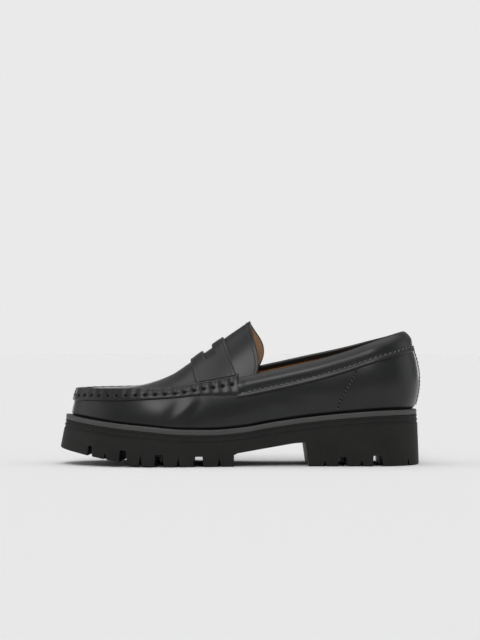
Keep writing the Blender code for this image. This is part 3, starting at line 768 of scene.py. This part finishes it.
def row_of_stitches():
    """Geometry Nodes tree that lays stitches along a line, upright on its "out" attribute."""
    tree = bpy.data.node_groups.new("row_of_stitches", "GeometryNodeTree")
    add = tree.interface.new_socket
    add("Geometry", in_out="INPUT", socket_type="NodeSocketGeometry")
    for name in Stitch._fields:
        add(name, in_out="INPUT", socket_type="NodeSocketFloat")
    add("finish", in_out="INPUT", socket_type="NodeSocketMaterial")
    add("Geometry", in_out="OUTPUT", socket_type="NodeSocketGeometry")
    kinds = dict(
        given="NodeGroupInput", curve="GeometryNodeMeshToCurve", even="GeometryNodeResampleCurve",
        out="GeometryNodeInputNamedAttribute", tangent="GeometryNodeInputTangent",
        along="FunctionNodeAlignRotationToVector", upright="FunctionNodeAlignRotationToVector",
        ball="GeometryNodeMeshUVSphere", size="ShaderNodeCombineXYZ",
        stitch="GeometryNodeTransform", placed="GeometryNodeInstanceOnPoints",
        lean="ShaderNodeCombineXYZ", turned="GeometryNodeRotateInstances",
        real="GeometryNodeRealizeInstances", smooth="GeometryNodeSetShadeSmooth",
        finish="GeometryNodeSetMaterial", result="NodeGroupOutput")
    node = {name: tree.nodes.new(kind) for name, kind in kinds.items()}
    node["even"].mode = "LENGTH"
    node["out"].data_type = "FLOAT_VECTOR"
    node["out"].inputs["Name"].default_value = "out"
    node["along"].axis = "X"
    node["upright"].axis = "Z"
    node["upright"].pivot_axis = "X"
    set_inputs(node["ball"], {"Segments": 8, "Rings": 6, "Radius": 0.5})
    sources = {
        "curve.Mesh": "given.Geometry", "even.Curve": "curve.Curve", "even.Length": "given.pitch",
        "along.Vector": "tangent.Tangent", "upright.Rotation": "along.Rotation",
        "upright.Vector": "out.Attribute", "size.X": "given.length", "size.Y": "given.thread",
        "size.Z": "given.thread", "stitch.Geometry": "ball.Mesh", "stitch.Scale": "size.Vector",
        "placed.Points": "even.Curve", "placed.Instance": "stitch.Geometry",
        "placed.Rotation": "upright.Rotation", "lean.Z": "given.lean",
        "turned.Instances": "placed.Instances", "turned.Rotation": "lean.Vector",
        "real.Geometry": "turned.Instances", "smooth.Geometry": "real.Geometry",
        "finish.Geometry": "smooth.Geometry", "finish.Material": "given.finish",
        "result.Geometry": "finish.Geometry"}
    for taken, given in sources.items():
        (giver, output), (taker, socket) = given.split("."), taken.split(".")
        tree.links.new(node[giver].outputs[output], node[taker].inputs[socket])
    return tree


stitches = row_of_stitches()


def sew(name, line, out, finish, stitch):
    """Sew a row of stitches along a line of points, each with its direction out."""
    mesh = bpy.data.meshes.new(name)
    mesh.from_pydata(line.tolist(), [(i - 1, i) for i in range(1, len(line))], [])
    mesh.attributes.new("out", "FLOAT_VECTOR", "POINT").data.foreach_set("vector", out.ravel())
    made = new_object(name, mesh)
    modifier = made.modifiers.new("stitches", "NODES")
    modifier.node_group = stitches
    given = {**stitch._asdict(), "finish": finish}
    for socket in stitches.interface.items_tree:
        if socket.in_out == "INPUT" and socket.name in given:
            modifier[socket.identifier] = given[socket.name]
    make_plain(made)
    dress(made)


def plain_finish(name, colour, roughness):
    """Waxed thread, painted highlight or painted shade: one colour, softly varied by the grain's
    recipe.
    """
    lighter = tuple(1.35 * part for part in colour)
    return finish_with_grain(name, colour, lighter, roughness, 0.0005, 0.00003, patch=0.004)


black_thread = plain_finish("black_thread", (0.016, 0.016, 0.016), 0.42)
grey_thread = plain_finish("grey_thread", (0.085, 0.09, 0.09), 0.50)
# Near-black finish for the insides of holes and grooves: painted shade.
painted_recess_shade = plain_finish("painted_recess_shade", (0.0022, 0.0022, 0.0022), 0.90)

# Tongue's edge. The black leather is turned round the free edge as a roll and sewn down.
ROLL_RADIUS = 0.0009
ROLL_SIDES = 10
ROLL_REACH = 1.12
ROLL_STEPS = 150
GROOVE_RADIUS = 0.0004
GROOVE_SINK = 0.0001
SEWN_LENGTH = 0.93
SEWN_STAND = 0.0003
TONGUE_STITCH = Stitch(0.0026, 0.0015, 0.0008, 0.12)


def tube(name, line, radius, finish):
    """Closed round cord along a line of points."""
    along = unit(np.gradient(line, axis=0))
    side = unit(np.cross(along, [0.0, 0.0, 1.0]))
    lift = np.cross(side, along)
    turns = np.linspace(0, 2 * pi, ROLL_SIDES, endpoint=False)
    grid = np.stack([line + (side * cos(t) + lift * sin(t)) * radius for t in turns], 1)
    index = np.arange(grid.shape[0] * ROLL_SIDES).reshape(-1, ROLL_SIDES)
    faces = quads(index, closed=True)[:, ::-1].tolist()
    faces += [index[0].tolist(), index[-1][::-1].tolist()]
    return solid(name, grid, faces, finish, 60)


across = np.linspace(-ROLL_REACH, ROLL_REACH, ROLL_STEPS)
edge = tongue_face(1.0, across)
inside = tongue_face(SEWN_LENGTH, across)
edge_out = grid_normal(np.stack([edge, inside], 0))[0]
roll = tube("tongue_roll", edge - edge_out * ROLL_RADIUS, ROLL_RADIUS, black_leather)
dress(roll)
# A near-black cord sunk along the sewn line: painted shade in the stitch groove.
groove = tube("tongue_groove_painted_shade", inside - edge_out * GROOVE_SINK, GROOVE_RADIUS, painted_recess_shade)
dress(groove)
sew("tongue_stitches", inside + edge_out * SEWN_STAND, edge_out, grey_thread, TONGUE_STITCH)

# Saddle strap. A strap of the same leather over the instep with a slot through its middle. Its
# feet end against the moc seam, and its edges are cut and creased, with a lighter finish on
# the edge faces as a painted highlight.
STRAP_THICKNESS = 0.00185
STRAP_CLEAR = 0.0004
STRAP_FRONT_SHARE = 0.633
STRAP_REAR_SHARE = 0.527
STRAP_FOOT_REAR_SHARE = 0.512
SLOT_FRONT_SHARE = 0.39
SLOT_REAR_SHARE = 0.651
SLOT_REACH_SHARE = 0.53
SLOT_END_BOW = 0.025
SLOT_BOW_SPREAD = 0.15
STRAP_LENGTH = 0.03
STRAP_HALF_WIDTH = 0.042
STRAP_UNDERSIDE_SHARE = 0.4
STRAP_FULLNESS = 0.00045
STRAP_ROW_STEP = 0.022
STRAP_COLUMN_STEP = 0.02
EDGE_FALL = 0.00055
EDGE_FALL_WIDTH = 0.00045
EDGE_CREASE = 0.0023
CREASE_DEPTH = 0.00022
CREASE_WIDTH = 0.0005
SEAM_LIP = 0.0042
LIP_BY_STRAP_SHARE = 0.4

SEAM_ROWS = table(
    "at drop lip",
    (0.50, 1.60, 0.45), (0.60, 1.10, 0.50), (0.70, 0.86, 0.70), (0.80, 0.93, 1.00),
    (1.00, 1.00, 1.00),
)
# Lighter finish for the strap's cut edge faces: a painted highlight.
painted_edge_highlight = plain_finish("painted_edge_highlight", (0.050, 0.050, 0.048), 0.50)


def strap_face(fraction, c):
    """Face under the strap: fraction from its front (0) to its rear (1), c from foot to foot."""
    fraction, c = np.broadcast_arrays(fraction, c)
    rear = mix(STRAP_REAR_SHARE, STRAP_FOOT_REAR_SHARE, c * c)
    at = mix(STRAP_FRONT_SHARE, rear, fraction)
    half = (rim(place_of(at, 1))[..., 1] - rim(place_of(at, -1))[..., 1]) / 2
    lip = SEAM_LIP * LIP_BY_STRAP_SHARE * read(SEAM_ROWS, "lip", at)
    return instep(at, c * (1 - (lip + STRAP_CLEAR) / half))


def lines_between(marks, step):
    """Even lines between marks that have to be lines themselves, closer beside each mark."""
    found = [marks[0]]
    for low, high in zip(marks, marks[1:]):
        count = max(6, round((high - low) / step))
        t = np.linspace(0, 1, count + 1)[1:]
        found += list(low + (high - low) * (t - 0.12 * np.sin(2 * pi * t)))
    return np.array(found)


fraction = lines_between([0.0, SLOT_FRONT_SHARE, SLOT_REAR_SHARE, 1.0], STRAP_ROW_STEP)
fraction = fraction[::-1][:, None]
c = lines_between([-1.0, -SLOT_REACH_SHARE, SLOT_REACH_SHARE, 1.0], STRAP_COLUMN_STEP)[None, :]
slot_middle = (SLOT_FRONT_SHARE + SLOT_REAR_SHARE) / 2
slot_half = (SLOT_REAR_SHARE - SLOT_FRONT_SHARE) / 2
in_slot = np.maximum(0, 1 - ((fraction - slot_middle) / slot_half) ** 2)
near_end = np.exp(-((np.abs(c) - SLOT_REACH_SHARE) / SLOT_BOW_SPREAD) ** 2)
bowed = c + np.sign(c) * SLOT_END_BOW * in_slot * near_end
face = strap_face(fraction, bowed)
out = grid_normal(face)
to_edge = np.minimum(fraction, 1 - fraction) * STRAP_LENGTH
from_slot_rows = np.abs(fraction - slot_middle) - slot_half
from_slot_ends = (np.abs(c) - SLOT_REACH_SHARE) * STRAP_HALF_WIDTH
to_slot = np.maximum(from_slot_rows * STRAP_LENGTH, from_slot_ends)
near = np.minimum(to_edge, np.abs(to_slot))
rise = GAP + STRAP_THICKNESS - EDGE_FALL * np.exp(-(near / EDGE_FALL_WIDTH) ** 2)
rise = rise - CREASE_DEPTH * np.exp(-((to_edge - EDGE_CREASE) / CREASE_WIDTH) ** 2)
rise = rise + STRAP_FULLNESS * np.sin(pi * np.clip(fraction, 0, 1)) * (1 - c * c)
middle_rows = (fraction[1:] + fraction[:-1]) / 2
middle_columns = (c[:, 1:] + c[:, :-1]) / 2
keep = ~((np.abs(middle_rows - slot_middle) < slot_half)
         & (np.abs(middle_columns) < SLOT_REACH_SHARE))
strap = slab("saddle_strap_leather", face + out * rise[..., None],
             face + out * GAP * STRAP_UNDERSIDE_SHARE, black_leather, keep=keep)
# The edge faces take the lighter finish: painted highlight.
strap.data.materials.append(painted_edge_highlight)
outer_count = 2 * int(keep.sum())
for polygon in strap.data.polygons[outer_count:]:
    polygon.material_index = 1
dress(strap, "saddle_strap")

# Moc seam. A band folded over the ridge where wall and apron meet, from behind the strap round
# the toe. It is pierced by a row of holes, gathered between them and sewn with thick thread.
SEAM_DROP = 0.0088
SEAM_END_TOP_SHARE = 0.5055
SEAM_END_FOOT_SHARE = 0.503
SEAM_COLUMNS = 860
HOLE_PITCH = 0.00785
HOLE_DROP = 0.0045
FIRST_HOLE = 0.0066
HOLE_HALF_WIDTH = 0.00125
HOLE_HALF_HEIGHT = 0.001
HOLE_DEPTH = 0.0021
# Depth past which the faces of a hole take painted shade.
HOLE_PAINTED_SHADE_DEPTH = 0.0006
PUCKER = 0.00017
WING_PUCKER = 0.00024
PUCKER_LOW_SHARE = 0.35
PUCKER_LIP_SHARE = 0.9
WING_FRONT_X = -0.036
BAND_WALL_ROWS = 23
BAND_LIP_ROWS = 9
RIDGE_SWELL = 0.0002
END_FALL_SHARE = 0.45
END_FALL_LENGTH = 0.0005
BAND_LEAST = 0.0003
BAND_UNDERSIDE = 0.0002
SLOPE_STEP = 0.0008
INSTEP_CORRECTIONS = 10
THREAD_LIFT = 0.0002
THREAD_STAND = 0.0019
MOC_STITCH = Stitch(HOLE_PITCH * 0.992, 0.0036, 0.0009, 0.5)

SEAM_WALL_PROFILE = table(
    "at rise",
    (0.00, 0.0004), (0.03, 0.0011), (0.08, 0.0015), (0.25, 0.0017),
    (0.50, 0.0017), (0.75, 0.0018), (1.00, 0.0018),
)
SEAM_LIP_PROFILE = table(
    "at rise",
    (0.00, 0.0018), (0.40, 0.0017), (0.75, 0.0013), (0.93, 0.0009), (1.00, 0.0004),
)


def run_along(points):
    """Length of the way along a line to each of its points."""
    steps = np.linalg.norm(np.diff(points, axis=0), axis=1)
    return np.concatenate([[0], np.cumsum(steps)])


def even_places(low, high, count):
    """Places with even steps along the top line, and the length of the run to each."""
    fine = np.linspace(low, high, 4000)
    run = run_along(rim(fine))
    even = np.linspace(0, run[-1], count)
    return np.interp(even, run, fine), even


def instep_above(x, y):
    """Points of the apron over plan points, found by a few rounds of correction."""
    at = (RIM_BACK_X - x) / RIM_LENGTH
    for _ in range(INSTEP_CORRECTIONS):
        at = np.clip(at, 0, 0.9999)
        outer = rim(place_of(at, -1))[..., 1]
        inner = rim(place_of(at, 1))[..., 1]
        b = np.clip((2 * y - outer - inner) / np.maximum(inner - outer, 1e-6), -1, 1)
        sweep = SWEEP * read(INSTEP_ROWS, "sweep", at) * (1 - b * b)
        at = (RIM_BACK_X - x - sweep) / RIM_LENGTH
    return np.stack([x, y, instep(np.clip(at, 0, 1), b)[..., 2]], -1)


q_top = float(place_of(SEAM_END_TOP_SHARE, 1))
q_foot = float(place_of(SEAM_END_FOOT_SHARE, 1))
seam_q, run = even_places(q_top, 2 - q_top, SEAM_COLUMNS)
holes = round((run[-1] - 2 * FIRST_HOLE) / HOLE_PITCH)
phase = (run - FIRST_HOLE) / (run[-1] - 2 * FIRST_HOLE) * holes
from_hole = (phase - np.round(phase)) * HOLE_PITCH
drop_size = SEAM_DROP * read(SEAM_ROWS, "drop", ease(seam_q))
lip_size = SEAM_LIP * read(SEAM_ROWS, "lip", ease(seam_q))
top_line = rim(seam_q)
wing = soft_step(top_line[:, 0], WING_FRONT_X - 0.006, WING_FRONT_X + 0.004)
pucker = mix(PUCKER, WING_PUCKER, wing) * -np.cos(2 * pi * phase)
beyond = (phase < -0.4) | (phase > holes + 0.4)
end_distance = np.minimum(run, run[-1] - run)

surfaces = []
parts = np.linspace(1, 0, BAND_WALL_ROWS)
for part in parts:
    q_row = 1 + (seam_q - 1) * (1 - mix(q_top, q_foot, part)) / (1 - q_top)
    drop = drop_size * part
    v = below_rim(q_row, drop)
    rise = read(SEAM_WALL_PROFILE, "rise", 1 - part) + 0 * drop
    over = soft_step(HOLE_DROP - drop, -0.0022, 0.0030) * soft_step(drop, -0.002, 0.0012)
    rise = rise + pucker * mix(PUCKER_LOW_SHARE, 1.0, over) * soft_step(part, 1.0, 0.85)
    away = (from_hole / HOLE_HALF_WIDTH) ** 2 + ((drop - HOLE_DROP) / HOLE_HALF_HEIGHT) ** 2
    rise = rise - np.where(beyond, 0, HOLE_DEPTH) * np.exp(-away ** 1.5)
    surfaces.append((shell(q_row, v), shell_normal(q_row, v), rise))
lip_surfaces = []
for part in np.linspace(0, 1, BAND_LIP_ROWS):
    plan = top_line - plan_normal(seam_q) * (lip_size * part)[:, None]
    point = instep_above(plan[:, 0], plan[:, 1])
    step = plan - plan_normal(seam_q) * SLOPE_STEP
    slope = instep_above(step[:, 0], step[:, 1]) - point
    along = unit(np.gradient(point, axis=0))
    rise = read(SEAM_LIP_PROFILE, "rise", part) + pucker * (1 - part) * PUCKER_LIP_SHARE
    lip_surfaces.append((point, unit(np.cross(along, slope)), rise))
_, wall_out, wall_rise = surfaces[-1]
_, lip_out, lip_rise = lip_surfaces[0]
for t in (0.2, 0.4, 0.6, 0.8):
    rise = mix(wall_rise, lip_rise, t) + RIDGE_SWELL * sin(pi * t)
    surfaces.append((top_line, unit(mix(wall_out, lip_out, t)), rise))
surfaces += lip_surfaces
face = np.stack([point for point, _, _ in surfaces])
out = np.stack([normal for _, normal, _ in surfaces])
rise = np.stack([height for _, _, height in surfaces])
rise = rise * (1 - END_FALL_SHARE * np.exp(-(end_distance / END_FALL_LENGTH) ** 2))
seam = slab("moc_band", face + out * np.maximum(rise, BAND_LEAST)[..., None],
            face + out * BAND_UNDERSIDE, black_leather, sharp=70)
# Faces deep in the holes take the near-black finish: painted shade inside the holes.
seam.data.materials.append(painted_recess_shade)
depth = read(SEAM_WALL_PROFILE, "rise", 1 - parts)[:, None] - rise[:BAND_WALL_ROWS]
painted_shade_cells = (depth[1:, 1:] + depth[:-1, :-1]) / 2 > HOLE_PAINTED_SHADE_DEPTH
for number in np.flatnonzero(painted_shade_cells.ravel()).tolist():
    seam.data.polygons[number].material_index = 1
dress(seam, "moc_seam")

between_holes = np.linspace(FIRST_HOLE, run[-1] - FIRST_HOLE, 2 * holes + 1)[1::2]
sewn_q = np.interp(between_holes, run, seam_q)
v = below_rim(sewn_q, HOLE_DROP - THREAD_LIFT)
out = shell_normal(sewn_q, v)
sew("moc_thread", shell(sewn_q, v) + out * THREAD_STAND, out, black_thread, MOC_STITCH)

# Collar band. A soft strip of black leather folded over the collar with a little padding, sewn
# down outside by one row of light stitches, and glued down inside as a facing.
BAND_DROP = 0.0158
BAND_UNDER_WING = 0.003
BAND_TUCK_LENGTH = 0.0095
BAND_TUCK_SHARE = 0.68
BAND_SKIN = 0.0007
BAND_COLUMNS = 420
BAND_NORMAL_TOP = 0.97
STITCH_DROP = 0.0123
STITCH_STAND = 0.0014
COLLAR_STITCH = Stitch(0.0044, 0.0031, 0.0010, 0.35)

BAND_PROFILE = table(
    "at drop out",
    (0.000, 0.0158, 0.0003), (0.012, 0.0157, 0.0012), (0.035, 0.0150, 0.0016),
    (0.090, 0.0136, 0.0015), (0.130, 0.0123, 0.0011), (0.170, 0.0110, 0.0016),
    (0.240, 0.0088, 0.0023), (0.320, 0.0062, 0.0026), (0.400, 0.0036, 0.0023),
    (0.470, 0.0014, 0.0016), (0.520, 0.0000, 0.0009), (0.560, -0.0010, -0.0001),
    (0.600, -0.0013, -0.0011), (0.660, -0.0008, -0.0021), (0.740, 0.0004, -0.0027),
    (0.860, 0.0018, -0.0028), (0.970, 0.0033, -0.0026), (1.000, 0.0036, -0.0021),
)
BAND_WAVES = table("height reach start", (0.00012, 0.0135, 0.0), (0.00008, 0.0061, 1.0))
band_edge = float(place_of(SEAM_END_FOOT_SHARE + BAND_UNDER_WING / RIM_LENGTH, 1))
band_q, run = even_places(-band_edge, band_edge, BAND_COLUMNS)
span = np.concatenate([np.linspace(0, 0.03, 4), np.linspace(0.045, 0.975, 50), [0.99, 1.0]])
span = span[:, None]
drop = read(BAND_PROFILE, "drop", span)
reach = read(BAND_PROFILE, "out", span)
v = below_rim(band_q[None, :], drop)
base_out = shell_normal(band_q[None, :], np.minimum(v, BAND_NORMAL_TOP))
to_wing = soft_step(np.minimum(run, run[-1] - run), BAND_UNDER_WING - 0.001, BAND_TUCK_LENGTH)
reach = np.where(reach > 0, reach * mix(BAND_TUCK_SHARE, 1.0, to_wing), reach)
wave = sum(part.height * np.sin(run / part.reach + part.start) for part in BAND_WAVES)
reach = reach + wave * soft_step(reach, 0.001, 0.0022)
face = shell(band_q[None, :], v) + base_out * reach[..., None]
out = grid_normal(face)
band = slab("collar_roll", face, face - out * BAND_SKIN, black_leather, sharp=60)
dress(band, "collar_band")

sewn_q = band_q[(run > BAND_TUCK_LENGTH) & (run < run[-1] - BAND_TUCK_LENGTH)]
v = below_rim(sewn_q, STITCH_DROP)
out = shell_normal(sewn_q, v)
sew("collar_stitches", shell(sewn_q, v) + out * STITCH_STAND, out, grey_thread, COLLAR_STITCH)

# Quarter seams and back seam. The wall's pieces meet edge to edge and are drawn together by a
# narrow plaited seam that stands a little proud.
QUARTER_LINE = table(
    "at x z",
    (0.00, 0.0965, 0.0815), (0.18, 0.0948, 0.0752), (0.35, 0.0920, 0.0698), (0.58, 0.0868, 0.0615),
    (0.83, 0.0822, 0.0520), (1.00, 0.0806, 0.0470),
)
QUARTER_STEPS = 120
BACK_FOOT = 0.06
BACK_STEPS = 100
BACK_TOP_CLEAR = 0.005
PLAIT_HALF_WIDTH = 0.0014
PLAIT_COLUMNS = 9
PLAIT_THICKNESS = 0.0005
PLAIT_RISE = 0.0006
PLAIT_WAVE_SHARE = 0.35
PLAIT_SLANT = 2.2
PLAIT_PITCH = 0.0022
PLAIT_STAND = 0.00006
PLAIT_EDGE_FALL = 0.0003
PLAIT_EDGE_SHARE = 0.15
PLAIT_GROOVE = 0.0006
PLAIT_GROOVE_STAND = 0.0003
PLAIT_STITCH_STAND = 0.0008
PLAIT_STITCH = Stitch(0.0031, 0.0023, 0.0008, 0.9)
# Thread whose grey is a painted highlight, standing for the glints on the plaited seam.
seam_thread_painted_glint = plain_finish("seam_thread_painted_glint", (0.055, 0.057, 0.057), 0.40)


def plait(name, line, out):
    """Narrow ridge along a line on the wall, crossed by the plait's threads."""
    way = unit(np.gradient(line, axis=0))
    side = np.cross(out, way)
    width = np.linspace(1, -1, PLAIT_COLUMNS)[:, None]
    turn = 2 * pi * run_along(line) / PLAIT_PITCH + PLAIT_SLANT * np.abs(width)
    wave = 1 - PLAIT_WAVE_SHARE + PLAIT_WAVE_SHARE * np.sin(turn) ** 2
    edge = np.exp(-((np.abs(width) - 1) / PLAIT_EDGE_SHARE) ** 2)
    rise = PLAIT_RISE * (1 - width ** 2) * wave + PLAIT_STAND - PLAIT_EDGE_FALL * edge
    face = line + side * width[..., None] * PLAIT_HALF_WIDTH + out * rise[..., None]
    made = slab(name, face, face - out * PLAIT_THICKNESS, black_leather)
    dress(made)
    # A near-black cord along the seam line: painted shade in the seam's groove.
    groove = tube(name + "_groove", line + out * PLAIT_GROOVE_STAND, PLAIT_GROOVE, painted_recess_shade)
    dress(groove)
    sew(name + "_stitches", line + out * PLAIT_STITCH_STAND, out, seam_thread_painted_glint, PLAIT_STITCH)


t = np.linspace(0, 1, QUARTER_STEPS)
for name, side in (("quarter_seam_outer", -1), ("quarter_seam_inner", 1)):
    q, v = wall_place(read(QUARTER_LINE, "x", t), read(QUARTER_LINE, "z", t), side)
    plait(name, shell(q, v)[::side], shell_normal(q, v)[::side])
v = np.linspace(BACK_FOOT, float(below_rim(0.0, BAND_DROP)) - BACK_TOP_CLEAR, BACK_STEPS)
plait("back_seam", shell(0.0, v), shell_normal(0.0, v))

# Studio. A plain pale floor and backdrop of the same tone in an even, dim room, with a soft light
# over the camera, a brighter overhead, a low bright wall behind and a faint light at each end.
FLOOR_SIZE = 40.0
FLOOR_COLOUR = 0.9
PALE = 0.8228
CAMERA_PLACE = (0.0005, -1.5, 0.095)
CAMERA_PITCH = 0.96
CAMERA_LENS = 100.65
SENSOR_HEIGHT = 36
LIGHT_CORE_SHARE = 0.3

# A ramp goes from one strength to another along an axis of the sky. A soft light is round, and
# its edge is the cosine of its reach.
SkyRamp = namedtuple("SkyRamp", "axis low high at_low at_high")
FRONT = SkyRamp("Y", -0.85, -0.20, 0.31, 0.50)
REAR = SkyRamp("Y", 0.20, 0.75, 0.0, -0.25)
LOW_WALL_WIDTH = SkyRamp("Y", 0.78, 0.94, 0.0, 1.0)
LOW_WALL_HEIGHT = SkyRamp("Z", 0.05, 0.16, 3.2, 0.0)
TOP = SkyRamp("Z", 0.75, 0.98, 0.0, 1.2)
SOFT_LIGHTS = table(
    "direction edge strength",
    ((-0.09, -0.74, 0.67), 0.968, 5.2),
    ((-0.95, 0.0, 0.30), 0.90, 0.6),
    ((0.95, 0.0, 0.30), 0.90, 0.4),
)

floor_finish = bpy.data.materials.new("floor")
floor_finish.use_nodes = True
set_inputs(principled(floor_finish), {"Base Color": (FLOOR_COLOUR, FLOOR_COLOUR, FLOOR_COLOUR, 1),
                                      "Roughness": 1.0, "Specular IOR Level": 0.0})
corners = [(x * FLOOR_SIZE, y * FLOOR_SIZE, 0) for x, y in ((-1, -1), (1, -1), (1, 1), (-1, 1))]
floor = solid("floor", corners, [(0, 1, 2, 3)], floor_finish)

world = bpy.data.worlds.new("studio")
bpy.context.scene.world = world
world.use_nodes = True
tree = world.node_tree
tree.nodes.clear()
sky_place = add_node(tree, "TexCoord").outputs["Generated"]
sky = add_node(tree, "SeparateXYZ", {}, {0: sky_place}).outputs


def ramp_of(value, *limits):
    given = dict(zip(("From Min", "From Max", "To Min", "To Max"), limits))
    return add_node(tree, "MapRange", given, {"Value": value},
                    interpolation_type="SMOOTHSTEP").outputs["Result"]


def sky_ramp(row):
    return ramp_of(sky[row.axis], *row[1:])


def joined(operation, first, second):
    return add_node(tree, "Math", {}, {0: first, 1: second}, operation=operation).outputs["Value"]


def soft_light(row):
    toward = add_node(tree, "VectorMath", {1: unit(np.array(row.direction)).tolist()},
                      {0: sky_place}, operation="DOT_PRODUCT").outputs["Value"]
    return ramp_of(toward, row.edge, 1 - (1 - row.edge) * LIGHT_CORE_SHARE, 0.0, row.strength)


light = sky_ramp(FRONT)
low_wall = joined("MULTIPLY", sky_ramp(LOW_WALL_WIDTH), sky_ramp(LOW_WALL_HEIGHT))
for part in (sky_ramp(REAR), low_wall, sky_ramp(TOP), *map(soft_light, SOFT_LIGHTS)):
    light = joined("ADD", light, part)
studio_light = add_node(tree, "Background", {"Color": (1, 1, 1, 1)}, {"Strength": light})
backdrop = add_node(tree, "Background", {"Color": (PALE, PALE, PALE, 1)})
to_camera = add_node(tree, "LightPath").outputs["Is Camera Ray"]
chooser = add_node(tree, "MixShader", {}, {"Fac": to_camera, 1: studio_light.outputs[0],
                                           2: backdrop.outputs[0]})
add_node(tree, "OutputWorld", {}, {"Surface": chooser.outputs[0]})
bpy.context.scene.view_settings.view_transform = "Standard"

camera_data = bpy.data.cameras.new("camera")
camera_data.sensor_fit = "VERTICAL"
camera_data.sensor_height = SENSOR_HEIGHT
camera_data.lens = CAMERA_LENS
camera = new_object("camera", camera_data)
camera.location = CAMERA_PLACE
camera.rotation_euler = (radians(90 + CAMERA_PITCH), 0, 0)
bpy.context.scene.camera = camera
